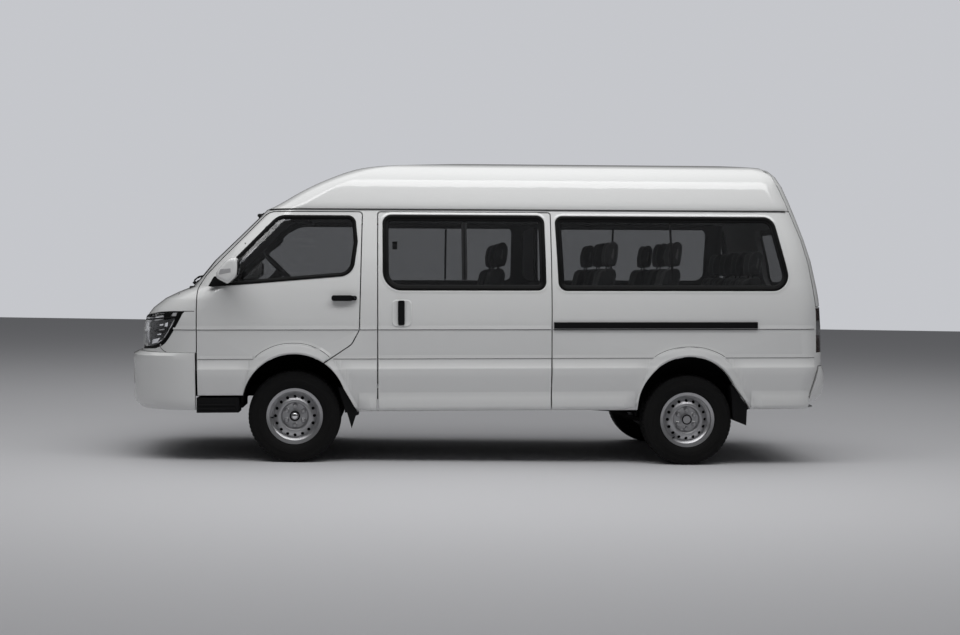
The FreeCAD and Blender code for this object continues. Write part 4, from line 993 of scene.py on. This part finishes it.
# A mirror's outline as (x, z), its sections from the door outward as (y, size), and its middle.
mirrorOutline = [(-0.424, 1.501), (-0.392, 1.500), (-0.383, 1.466), (-0.384, 1.398), (-0.395, 1.366),
                 (-0.452, 1.315), (-0.468, 1.313), (-0.508, 1.336), (-0.537, 1.350), (-0.540, 1.389),
                 (-0.516, 1.422), (-0.455, 1.488)]
mirrorSections = [(0.872, 0.70), (0.876, 0.86), (0.886, 0.94), (0.910, 0.985), (0.950, 1.0), (0.990, 0.995),
                  (1.018, 0.965), (1.034, 0.90), (1.041, 0.80), (1.0435, 0.60)]
mirrorMiddle = Vector((-0.455, 1.405))
mirrorBack = -0.3815                   # x of the surround's rear face
mirrorLamp = rounded([(-0.516, 1.374, 0.008), (-0.430, 1.392, 0.006), (-0.430, 1.424, 0.006),
                      (-0.505, 1.416, 0.014)])
mirrorFoot = rounded([(-0.618, 1.290, 0.006), (-0.478, 1.297, 0.006), (-0.520, 1.345, 0.02),
                      (-0.572, 1.368, 0.01)])
mirrorStalk = rounded([(-0.520, 1.315, 0.006), (-0.440, 1.322, 0.006), (-0.440, 1.352, 0.008),
                       (-0.520, 1.350, 0.008)])


def makeMirror(side, label):
    # a rounded shell with its reflector, turn lamp, foot and stalk
    body = "door_front_" + label
    xm, zm = mirrorMiddle
    outline = curved(mirrorOutline + mirrorOutline[:1], 2)[:-1]
    n, last = len(outline), len(mirrorSections) - 1
    points = [(xm + (x - xm) * s, side * y, zm + (z - zm) * s) for y, s in mirrorSections for x, z in outline]
    caps = [tuple(range(n)), tuple(range(last * n, (last + 1) * n))]
    shell = addObject("mirror_shell_" + label, (points, ringFaces(last + 1, n) + caps), paint, body)
    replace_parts(shell, "mirror_" + label)
    y0, y1 = sorted((side * 0.892, side * 1.022))
    face = roundBox(y0, 1.372, y1, 1.482, 0.03)
    centre = Vector(((y0 + y1) / 2, 1.427))
    inner = [centre + (Vector(p) - centre) * 0.92 for p in face]
    addObject("mirror_surround_" + label, slab(face, -0.390, mirrorBack, "yz"), blackTrim, body, bevel=0.002)
    addObject("mirror_glass_" + label, slab(inner, mirrorBack, mirrorBack + 0.001, "yz"), mirrorGlass, body,
              smooth=False)
    addObject("mirror_lamp_" + label, slab(mirrorLamp, side * 1.030, side * 1.0445), clearLens, body,
              bevel=0.003)
    skin = onWall(-0.52, 1.26, side)[0].y
    parts = [slab(mirrorFoot, skin - side * 0.030, skin + side * 0.006),
             slab(mirrorStalk, skin, side * 0.880)]
    addObject("mirror_foot_" + label, joined(parts), blackTrim, body, bevel=0.003)


for side, label in sides:
    makeMirror(side, label)

# The cab's trim: outlines as (x, z, corner) and paths as (x, y, z) on the right.
visor = rounded([(-0.058, 1.839, 0.008), (0.043, 1.837, 0.010), (0.101, 1.782, 0.012),
                 (-0.017, 1.773, 0.010)])
pillarPath = [(-0.60, 0.700, 1.325), (-0.507, 0.692, 1.407), (-0.420, 0.684, 1.480), (-0.333, 0.674, 1.558),
              (-0.246, 0.662, 1.660), (-0.159, 0.648, 1.745), (-0.075, 0.634, 1.790), (0.000, 0.620, 1.810)]
gripPath = [(-0.365, 0.715, 1.600), (-0.330, 0.690, 1.592), (-0.279, 0.680, 1.595), (-0.225, 0.678, 1.635),
            (-0.198, 0.680, 1.671), (-0.200, 0.690, 1.714), (-0.215, 0.705, 1.730)]
binnacle = rounded([(-0.66, 1.285, 0.01), (-0.46, 1.225, 0.03), (-0.47, 1.31, 0.04), (-0.62, 1.335, 0.03)])
shelf = rounded([(-0.78, 1.272, 0.01), (-0.50, 1.238, 0.02), (-0.51, 1.262, 0.02), (-0.78, 1.296, 0.01)])
doorTrim = rounded([(-0.60, 0.89, 0.05), (0.24, 0.89, 0.10), (0.44, 1.00, 0.05), (0.435, 1.398, 0.03),
                    (-0.585, 1.315, 0.03)])


def makeCabTrim():
    # sun visors, pillar lining, grab handles, inner mirror, instrument hood and dashboard top
    for side, label in sides:
        addObject("sun_visor_" + label, slab(visor, *sorted((side * 0.12, side * 0.50))), cabin, bevel=0.006)
        grip = [Vector((x, side * y, z)) for x, y, z in gripPath]
        addObject("pillar_grip_" + label, tube(grip, 0.013, 12), cabin)
    addObject("front_pillar_lining_right", tube(pillarPath, 0.026, 14), paleTrim)
    mirror = roundBox(-0.12, 1.735, 0.12, 1.795, 0.02)
    addObject("inner_mirror", slab(mirror, -0.225, -0.200, "yz"), cabin, bevel=0.006)
    addObject("inner_mirror_stem", tube([(-0.215, 0, 1.79), (-0.25, 0, 1.825)], 0.008), cabin)
    addObject("instrument_hood", slab(binnacle, 0.22, 0.58), cabin, bevel=0.012, steps=3)
    addObject("dashboard_top", slab(shelf, -0.62, 0.20), cabin, bevel=0.006)


def makeDoorLining(side, label):
    # inner trim of a front door up to the window's foot
    inner = onWall(0.1, 1.0, side)[0].y - side * 0.056
    addObject("door_lining_" + label, slab(doorTrim, *sorted((inner, inner - side * 0.02))), cabin,
              "door_front_" + label, bevel=0.008)


makeCabTrim()
for side, label in sides:
    makeDoorLining(side, label)
print("trim done")


# Body lines lie on the skin as fine steps; each stretch rides the panel it lies on.
def within(point, polygon):
    odd = False
    for (x0, z0), (x1, z1) in zip(polygon, polygon[1:] + polygon[:1]):
        if (z0 > point[1]) != (z1 > point[1]) and point[0] < (x1 - x0) * (point[1] - z0) / (z1 - z0) + x0:
            odd = not odd
    return odd


def lay(name, columns, material, keep=None):
    # columns of (x, z, height) set on both walls
    n = len(columns[0])
    for side, label in sides:
        points, panel = [], []
        for x, z, height in (spot for column in columns for spot in column):
            hit, normal, index = wallHit(wallSkin, x, z, side)
            missed = hit is None or abs(hit.y) < 0.60
            points.append(Vector((x, 0, z)) if missed else hit + normal * height)
            panel.append(None if missed else wallOwner[index])
        parts = {}
        for face in gridFaces(len(columns), n):
            where = {panel[k] for k in face}
            middle = sum((points[k] for k in face), Vector()) / 4
            if len(where) == 1 and None not in where and not (keep and not keep(middle.x, middle.z)):
                parts.setdefault(where.pop(), []).append(face)
        for node, faces in parts.items():
            if node.startswith("glass"):
                continue
            used = sorted({k for face in faces for k in face})
            place = {k: i for i, k in enumerate(used)}
            shape = [points[k] for k in used], [tuple(place[k] for k in face) for face in faces]
            addObject(name + "_" + label + "_on_" + node, shape, material,
                      node if node.startswith("door_front") else "root")


def walked(path, step=0.005):
    # a path of (x, z) with its points at even steps
    out = []
    for (x0, z0), (x1, z1) in zip(path, path[1:]):
        count = max(1, round(sqrt((x1 - x0) ** 2 + (z1 - z0) ** 2) / step))
        out += [Vector((x0 + (x1 - x0) * k / count, z0 + (z1 - z0) * k / count)) for k in range(count)]
    return out + [Vector(path[-1])]


def alongPath(path, section):
    # columns across a path; section is (offset to the path's left, height)
    spots = walked(path)
    columns = []
    for i, spot in enumerate(spots):
        ahead = (spots[min(i + 1, len(spots) - 1)] - spots[max(i - 1, 0)]).normalized()
        columns.append([(spot.x - ahead.y * a, spot.y + ahead.x * a, h) for a, h in section])
    return columns


# Outer edge of each arch's flare, from its front foot round to its rear foot, as (x, z), and its middle.
frontFlare = curved([(-0.375, 0.500), (-0.354, 0.587), (-0.326, 0.691), (-0.290, 0.770), (-0.233, 0.817),
                     (-0.148, 0.858), (-0.076, 0.875), (-0.004, 0.879), (0.080, 0.873), (0.165, 0.844),
                     (0.249, 0.790), (0.321, 0.696), (0.375, 0.572), (0.462, 0.410)], 2)
rearFlare = curved([(2.525, 0.425), (2.567, 0.575), (2.612, 0.688), (2.651, 0.768), (2.732, 0.812),
                    (2.825, 0.838), (2.932, 0.847), (3.034, 0.838), (3.129, 0.805), (3.199, 0.768),
                    (3.248, 0.692), (3.304, 0.572), (3.390, 0.430)], 2)
flares = [("front", frontFlare, Vector((0.0, 0.45))), ("rear", rearFlare, Vector((2.944, 0.48)))]
flareRise = 0.013
flareSteps = 5
fadeReach = 0.09
flat = 0.0002                          # height of a step's foot on the skin

# Body lines: heights, the ends of each run between the flares, and sections of (offset, height).
beltLine, swageTop, swageFoot, sillMiddle = 0.977, 0.764, 0.695, 0.5
beltFront, tailEdge = -0.872, 3.884
swageRuns = [(-0.718, -0.292), (0.286, 2.652), (3.197, tailEdge)]
footRuns = [(-0.718, -0.300), (0.290, 2.640), (3.210, tailEdge)]
sillRuns = [(0.470, 2.522), (3.402, 3.862)]
ledge = [(0.060, flat), (0.006, 0.0030), (0.0, 0.0070), (-0.010, 0.0068), (-0.070, 0.0042), (-0.120, 0.0018),
         (-0.165, flat)]
lip = [(0.015, flat), (0.0, 0.0022), (-0.025, 0.0110), (-0.055, 0.0225), (-0.082, 0.0325), (-0.098, 0.0350),
       (-0.104, 0.0300), (-0.108, flat)]
seam = [(0.0022, 0.0006), (-0.0022, 0.0006)]


def fadeToFlares(columns):
    # heights that die away beside the flares
    edges = [p for name, outer, middle in flares for p in walked(outer, 0.02)]
    faded = []
    for column in columns:
        near = [min(1.0, min((Vector((x, z)) - p).length for p in edges) / fadeReach) for x, z, h in column]
        faded.append([(x, z, 0.0003 + (h - 0.0003) * share) for (x, z, h), share in zip(column, near)])
    return faded


def offFlares(x, z):
    return not any(within((x, z), outer) for name, outer, middle in flares)


def archEdge(middle, way, reach):
    # how far from an arch's middle the wall begins, found by halving
    low, high, halvings = 0.2, reach, 14
    for k in range(halvings):
        half = (low + high) / 2
        hit = onWall(*(middle + way * half), -1)[0]
        low, high = (low, half) if hit is not None and abs(hit.y) > 0.72 else (half, high)
    return high + 0.002


def makeFlare(name, outer, middle):
    columns = []
    for spot in walked(outer, 0.012):
        way = (spot - middle).normalized()
        reach = (spot - middle).length
        edge = archEdge(middle, way, reach)
        rise = min(1.0, (reach - edge) / 0.03)
        column = [(*(middle + way * (reach + (edge - reach) * s)), 0.0006 + flareRise * rise * s ** 1.3)
                  for s in (k / flareSteps for k in range(flareSteps + 1))]
        columns.append(column + [(*(middle + way * (edge + 0.001)), -0.003)])
    lay("flare_" + name, columns, paint)
    top = [p for p in outer if p[1] > swageTop - 0.004]
    # a dark strip of painted shade along the top edge of the flare
    lay("flare_line_" + name, alongPath(top, [(0.0030, 0.0022), (-0.0015, 0.0005)]), seamAndPaintedShade)
    lay("flare_step_" + name, alongPath(top, [(0.022, flat), (0.0030, 0.0022)]), paint)


def makeBodyLines():
    belt = [(beltFront, beltLine), (tailEdge, beltLine)]
    lay("belt_step", alongPath(belt, [(0.030, flat), (0.0025, 0.0032)]), paint)
    # the dark strip along the belt crease is painted shade
    lay("belt_painted_shade", alongPath(belt, [(0.0025, 0.0032), (-0.0028, flat)]), seamAndPaintedShade)
    for i, (x0, x1) in enumerate(swageRuns):
        line = [(x0, swageTop), (x1, swageTop)]
        lay("swage_step_%d" % i, alongPath(line, [(0.026, flat), (0.0020, 0.0026)]), paint, offFlares)
        # the dark strip along the swage crease is painted shade
        lay("swage_line_%d" % i, alongPath(line, [(0.0020, 0.0026), (-0.0018, 0.0003)]), seamAndPaintedShade, offFlares)
    for name, runs, height, section in (("swage_foot_%d", footRuns, swageFoot, ledge),
                                        ("sill_lip_%d", sillRuns, sillMiddle, lip)):
        for i, (x0, x1) in enumerate(runs):
            lay(name % i, fadeToFlares(alongPath([(x0, height), (x1, height)], section)), paint, offFlares)
    lay("bonnet_side_seam", alongPath([(-0.800, 1.1115), (-0.716, 1.1115)], seam), seamAndPaintedShade)
    corner = curved([(-0.975, 0.845), (-0.945, 0.818), (-0.915, 0.812), (-0.800, 0.812)])
    lay("lamp_corner_seam", alongPath(corner, seam), seamAndPaintedShade)


for flare in flares:
    makeFlare(*flare)
makeBodyLines()

# The pressed edge of the wall round the side windows.
flange = [(-0.006, 0.0044), (-0.0085, 0.0072), (-0.012, 0.0070), (-0.026, 0.0044)]
for node, body, outward, width, border in panes[2:6]:
    addObject(node + "_flange", sweepLoop(rimLoop(node, Vector(outward).normalized()), flange), paint, body)
print("body lines done")

lampSkin = skinTree("headlamps", "front_body", "bonnet", "bumper_front")


def spotAt(x, z, side, lift):
    # on the lamp or the skin round it
    hit, normal = wallHit(lampSkin, x, z, side)[:2]
    if hit is None:
        hit, normal = lampSkin.find_nearest(Vector((x, side * 0.6, z)))[:2]
        normal = normal if normal.y * side > 0 else -normal
    return hit + normal * lift


def alongLine(line, share):
    lengths = [(Vector(a) - Vector(b)).length for a, b in zip(line, line[1:])]
    goal = share * sum(lengths)
    for (a, b), size in zip(zip(line, line[1:]), lengths):
        if goal <= size + 1e-9:
            return Vector(a).lerp(Vector(b), goal / size)
        goal -= size
    return Vector(line[-1])


def ribbon(side, first, second, lift, rows=2, step=0.008):
    # a band between two lines of (x, z) laid on the lamp's skin
    count = max(2, round(sum((Vector(a) - Vector(b)).length for a, b in zip(first, first[1:])) / step))
    points = []
    for i in range(count + 1):
        a, b = alongLine(first, i / count), alongLine(second, i / count)
        points += [spotAt(*a.lerp(b, j / rows), side, lift) for j in range(rows + 1)]
    return points, gridFaces(count + 1, rows + 1)


# Lamp outline as (x, z): its top edge, and its rear and lower edge.
lampUpper = [(-1.135, 1.072), (-1.073, 1.087), (-0.974, 1.105), (-0.884, 1.111), (-0.793, 1.112)]
lampRear = curved([(-0.793, 1.112), (-0.823, 1.054), (-0.871, 0.969), (-0.920, 0.895), (-0.947, 0.868),
                   (-0.982, 0.848), (-1.040, 0.835), (-1.130, 0.828)], 2)
lampRearInner = curved([(-0.845, 1.098), (-0.858, 1.050), (-0.900, 0.975), (-0.944, 0.908), (-0.968, 0.885),
                        (-0.998, 0.866), (-1.045, 0.853), (-1.130, 0.846)], 2)

# Its bands: suffix, finish, slot, and for each its two lines, height off the skin and rows.
lampBands = [
    ("_border", rubber, "black_trim", [
        (lampUpper, [(x, z - 0.011) for x, z in lampUpper], 0.0015), (lampRear, lampRearInner, 0.0015),
        ([(-1.123, 1.046), (-0.941, 1.066), (-0.835, 1.074)],
         [(-1.123, 1.038), (-0.941, 1.056), (-0.840, 1.062)], 0.0012),
        ([(-0.944, 1.100), (-0.880, 1.104)], [(-0.950, 1.048), (-0.905, 1.052)], 0.0010, 4)]),
    ("_light_strips", clearLens, "lamp_lens", [
        ([(-1.125, 1.066), (-0.953, 1.092)], [(-1.125, 1.048), (-0.957, 1.067)], -0.0045),
        ([(-0.876, 1.099), (-0.812, 1.101)], [(-0.886, 1.075), (-0.830, 1.075)], 0.0012),
        ([(-0.862, 1.050), (-0.905, 0.975), (-0.950, 0.910), (-1.000, 0.876)],
         [(-0.870, 1.050), (-0.912, 0.973), (-0.958, 0.906), (-1.008, 0.880)], -0.0045)]),
    ("_reflector_panels", chrome, "lamp_lens", [
        ([(-1.128, 1.030), (-1.128, 0.870)], [(-1.092, 1.034), (-1.085, 0.870)], -0.010, 3),
        ([(-1.050, 0.900), (-0.985, 0.915)], [(-1.060, 0.866), (-1.010, 0.880)], -0.009, 3),
        ([(-0.940, 1.022), (-0.917, 1.030)], [(-0.945, 1.000), (-0.922, 0.998)], -0.006),
        ([(-0.992, 0.976), (-0.945, 0.982)], [(-0.994, 0.968), (-0.950, 0.972)], -0.006),
        ([(-1.005, 0.942), (-0.972, 0.948)], [(-1.007, 0.934), (-0.976, 0.938)], -0.006),
        ([(-0.985, 1.014), (-0.955, 1.018)], [(-0.987, 1.004), (-0.957, 1.006)], -0.006)]),
    ("_inner_bezel", blackTrim, "lamp_lens", [
        ([(-1.075, 1.036), (-1.060, 0.885)], [(-0.885, 1.050), (-0.985, 0.900)], -0.016, 6)])]
for side, label in sides:
    for suffix, material, slot, bands in lampBands:
        shape = joined([ribbon(side, *lines) for lines in bands])
        band = addObject("lamp_" + label + suffix, shape, material)
        if suffix == "_border":
            thicken(band, 0.0015)


def makeTailBands():
    # tail lamps: brown sections with a clear one between, by height
    material, tree, shader = newMaterial("tailLampBands", (0.05, 0.012, 0.010), 0.12, Coat_Weight=1.0,
                                         Coat_Roughness=0.04)
    low, high = ((bodyMatrix @ Vector((3.9, 0, z))).z for z in (0.931, 1.038))
    height = partOf(tree, "Z")
    band = mathOf(tree, "MULTIPLY", mathOf(tree, "GREATER_THAN", height, low),
                  mathOf(tree, "LESS_THAN", height, high))
    tintBy(tree, shader, band, (0.020, 0.007, 0.006), (0.16, 0.16, 0.165))
    fine = addNode(tree, "ShaderNodeTexWave", [("Vector", objectSpot(tree))], Scale=60.0, bands_direction="Z")
    bumpBy(tree, shader, fine.outputs["Fac"], 0.3, 0.001)
    return material


nodes["tail_lamps"].data.materials.clear()
nodes["tail_lamps"].data.materials.append(makeTailBands())

# Bars of the sliding panes: node, x, side, width, depth behind the pane, finish.
paneBars = [("glass_sliding", 1.247, -1, 0.012, 0.014, rubber),
            ("glass_sliding", 1.247, -1, 0.040, 0.020, paleTrim),
            ("glass_mid_right", 1.182, 1, 0.016, 0.014, rubber),
            ("glass_rear_left", 2.800, -1, 0.014, 0.014, rubber),
            ("glass_rear_right", 2.620, 1, 0.016, 0.014, rubber)]
barFoot, barTop, barStops = 1.345, 1.775, 12


def behindPane(skin, x, z, side, inward):
    hit, normal = wallHit(skin, x, z, side)[:2]
    return hit - normal * inward


def makeDividers():
    # upright bars that follow the panes' curve, and the catch on the front one
    for i, (node, x, side, width, inward, material) in enumerate(paneBars):
        skin = skinTree(node)
        path = [behindPane(skin, x, barFoot + (barTop - barFoot) * k / barStops, side, inward)
                for k in range(barStops + 1)]
        points = [p + Vector((dx, dy * side, 0)) for p in path for dx, dy in
                  ((-width / 2, 0.002), (width / 2, 0.002), (width / 2, -0.012), (-width / 2, -0.012))]
        last = 4 * barStops
        caps = [(0, 1, 2, 3), (last, last + 1, last + 2, last + 3)]
        addObject("pane_bar_%d" % i, (points, ringFaces(barStops + 1, 4) + caps), material,
                  smooth=False)
    spot = behindPane(skinTree("glass_sliding"), 0.735, 1.595, -1, 0.014)
    block = boxAt((spot.x - 0.020, spot.y - 0.006, 1.565), (spot.x + 0.018, spot.y + 0.018, 1.625))
    addObject("pane_catch", block, blackTrim, bevel=0.006)


makeDividers()
print("lamp trim and dividers done")


def tailPatch(name, outline, lift, depth, material):
    # an outline of (y, z) standing on the tailgate
    y, z = sum(p[0] for p in outline) / len(outline), sum(p[1] for p in outline) / len(outline)
    x = onTail(y, z)[0].x
    addObject(name, slab(outline, x + lift, x + lift + depth, "yz"), material, "tailgate", bevel=0.003)


def makeRear():
    # plate, release handle and wiper on the tailgate
    tailPatch("plate_rear", roundBox(-0.22, 0.905, 0.22, 1.015, 0.01), 0.002, 0.004, plateBlank)
    tailPatch("tailgate_handle", roundBox(-0.26, 1.050, 0.26, 1.085, 0.012), -0.002, 0.018, blackTrim)
    path = []
    stops = 8
    for k in range(stops + 1):
        hit, normal = onTail(0.02 - 0.42 * k / stops, 1.300 + 0.05 * k / stops)
        path.append(hit + normal * 0.014)
    pivot, normal = onTail(0.02, 1.262)
    boss = tube([pivot - normal * 0.004, pivot + normal * 0.020], 0.016, 20)
    arm = tube([pivot + normal * 0.016] + path[1:5], 0.005, 8)
    addObject("wiper_rear", joined([boss, arm, tube(path, 0.006, 8)]), blackTrim, "tailgate")


def makeFront():
    # blank plate on the bumper
    x = min(onNose(y, z)[0].x for y in (-0.2, 0, 0.2) for z in (0.56, 0.60, 0.64))
    plate = roundBox(-0.22, 0.545, 0.22, 0.655, 0.01)
    addObject("plate_front", slab(plate, x - 0.005, x - 0.001, "yz"), plateBlank, bevel=0.002)


def makeStepRibs():
    low, high = levelBox("steps")
    for side, label in sides:
        y0, y1 = sorted((side * (high.y - 0.002), side * (high.y + 0.006)))
        ribs = [boxAt((low.x + 0.012, y0, z - 0.006), (high.x - 0.020, y1, z + 0.006))
                for z in (0.430, 0.404)]
        addObject("step_ribs_" + label, joined(ribs), blackTrim, bevel=0.003)


def makeSplashPanels():
    # the inner walls of the front arches, beside the engine
    outline = rounded([(-0.62, 0.48, 0.02), (-0.16, 0.48, 0.02), (-0.16, 0.855, 0.04), (-0.62, 0.855, 0.04)])
    for side, label in sides:
        addObject("splash_panel_" + label, slab(outline, *sorted((side * 0.290, side * 0.294))), underseal,
                  bevel=0.001)


makeSplashPanels()
makeRear()
makeFront()
makeStepRibs()
print("rear and front trim done")

floorMesh = bpy.data.meshes.new("studioFloor")
reach = 30.0
floorMesh.from_pydata([(-reach, -reach, 0), (reach, -reach, 0), (reach, reach, 0), (-reach, reach, 0)], [],
                      [(0, 1, 2, 3)])
floorMesh.materials.append(newMaterial("studioPaper", (0.60, 0.60, 0.615), 0.8)[0])
studioFloor = bpy.data.objects.new("studioFloor", floorMesh)
scene.collection.objects.link(studioFloor)


def makeWorld():
    # pale all round to the camera; to the object, light from above and darker low down
    world = bpy.data.worlds.new("studio")
    scene.world = world
    world.use_nodes = True
    tree = world.node_tree
    tree.nodes.clear()
    spot = addNode(tree, "ShaderNodeTexCoord").outputs["Generated"]
    height = addNode(tree, "ShaderNodeSeparateXYZ", [("Vector", spot)]).outputs["Z"]
    span = addNode(tree, "ShaderNodeMapRange", [("Value", height)], To_Min=0.02, To_Max=0.30)
    lit = addNode(tree, "ShaderNodeBackground", [("Strength", span.outputs[0])], Color=(0.80, 0.81, 0.84, 1))
    seen = addNode(tree, "ShaderNodeBackground", Color=(0.56, 0.57, 0.60, 1))
    path = addNode(tree, "ShaderNodeLightPath").outputs
    either = mathOf(tree, "MAXIMUM", path["Is Camera Ray"], path["Is Transmission Ray"])
    mix = addNode(tree, "ShaderNodeMixShader", [(0, either), (1, lit.outputs[0]), (2, seen.outputs[0])])
    tree.links.new(mix.outputs[0], tree.nodes.new("ShaderNodeOutputWorld").inputs["Surface"])


makeWorld()


def areaLight(name, place, target, size, power):
    data = bpy.data.lights.new(name, "AREA")
    data.shape = "RECTANGLE"
    data.size, data.size_y = size
    data.energy = power
    lamp = bpy.data.objects.new(name, data)
    lamp.location = place
    lamp.rotation_euler = (Vector(target) - Vector(place)).to_track_quat("-Z", "Y").to_euler()
    scene.collection.objects.link(lamp)


areaLight("strip", (0, -2.6, 4.4), (0, -1.0, 1.2), (8, 1.2), 125)
areaLight("overhead", (0, 1.0, 9), (0, 1.0, 0), (20, 12), 500)

view = {"place": (-0.7771, -10.3880, 1.3581), "yaw": 4.3765, "pitch": -1.6217, "roll": 0.9964, "lens": 48.836}
yaw, pitch, roll = (radians(view[k]) for k in ("yaw", "pitch", "roll"))
ahead = Vector((sin(yaw) * cos(pitch), cos(yaw) * cos(pitch), sin(pitch)))
right = Vector((cos(yaw), -sin(yaw), 0))
over = right.cross(ahead)
right, over = right * cos(roll) + over * sin(roll), over * cos(roll) - right * sin(roll)
camera = bpy.data.objects.new("camera", bpy.data.cameras.new("camera"))
camera.data.lens = view["lens"]
camera.data.sensor_width = 36
camera.matrix_world = Matrix.Translation(view["place"]) @ Matrix((right, over, -ahead)).transposed().to_4x4()
scene.collection.objects.link(camera)
scene.camera = camera
scene.view_settings.view_transform = "Standard"
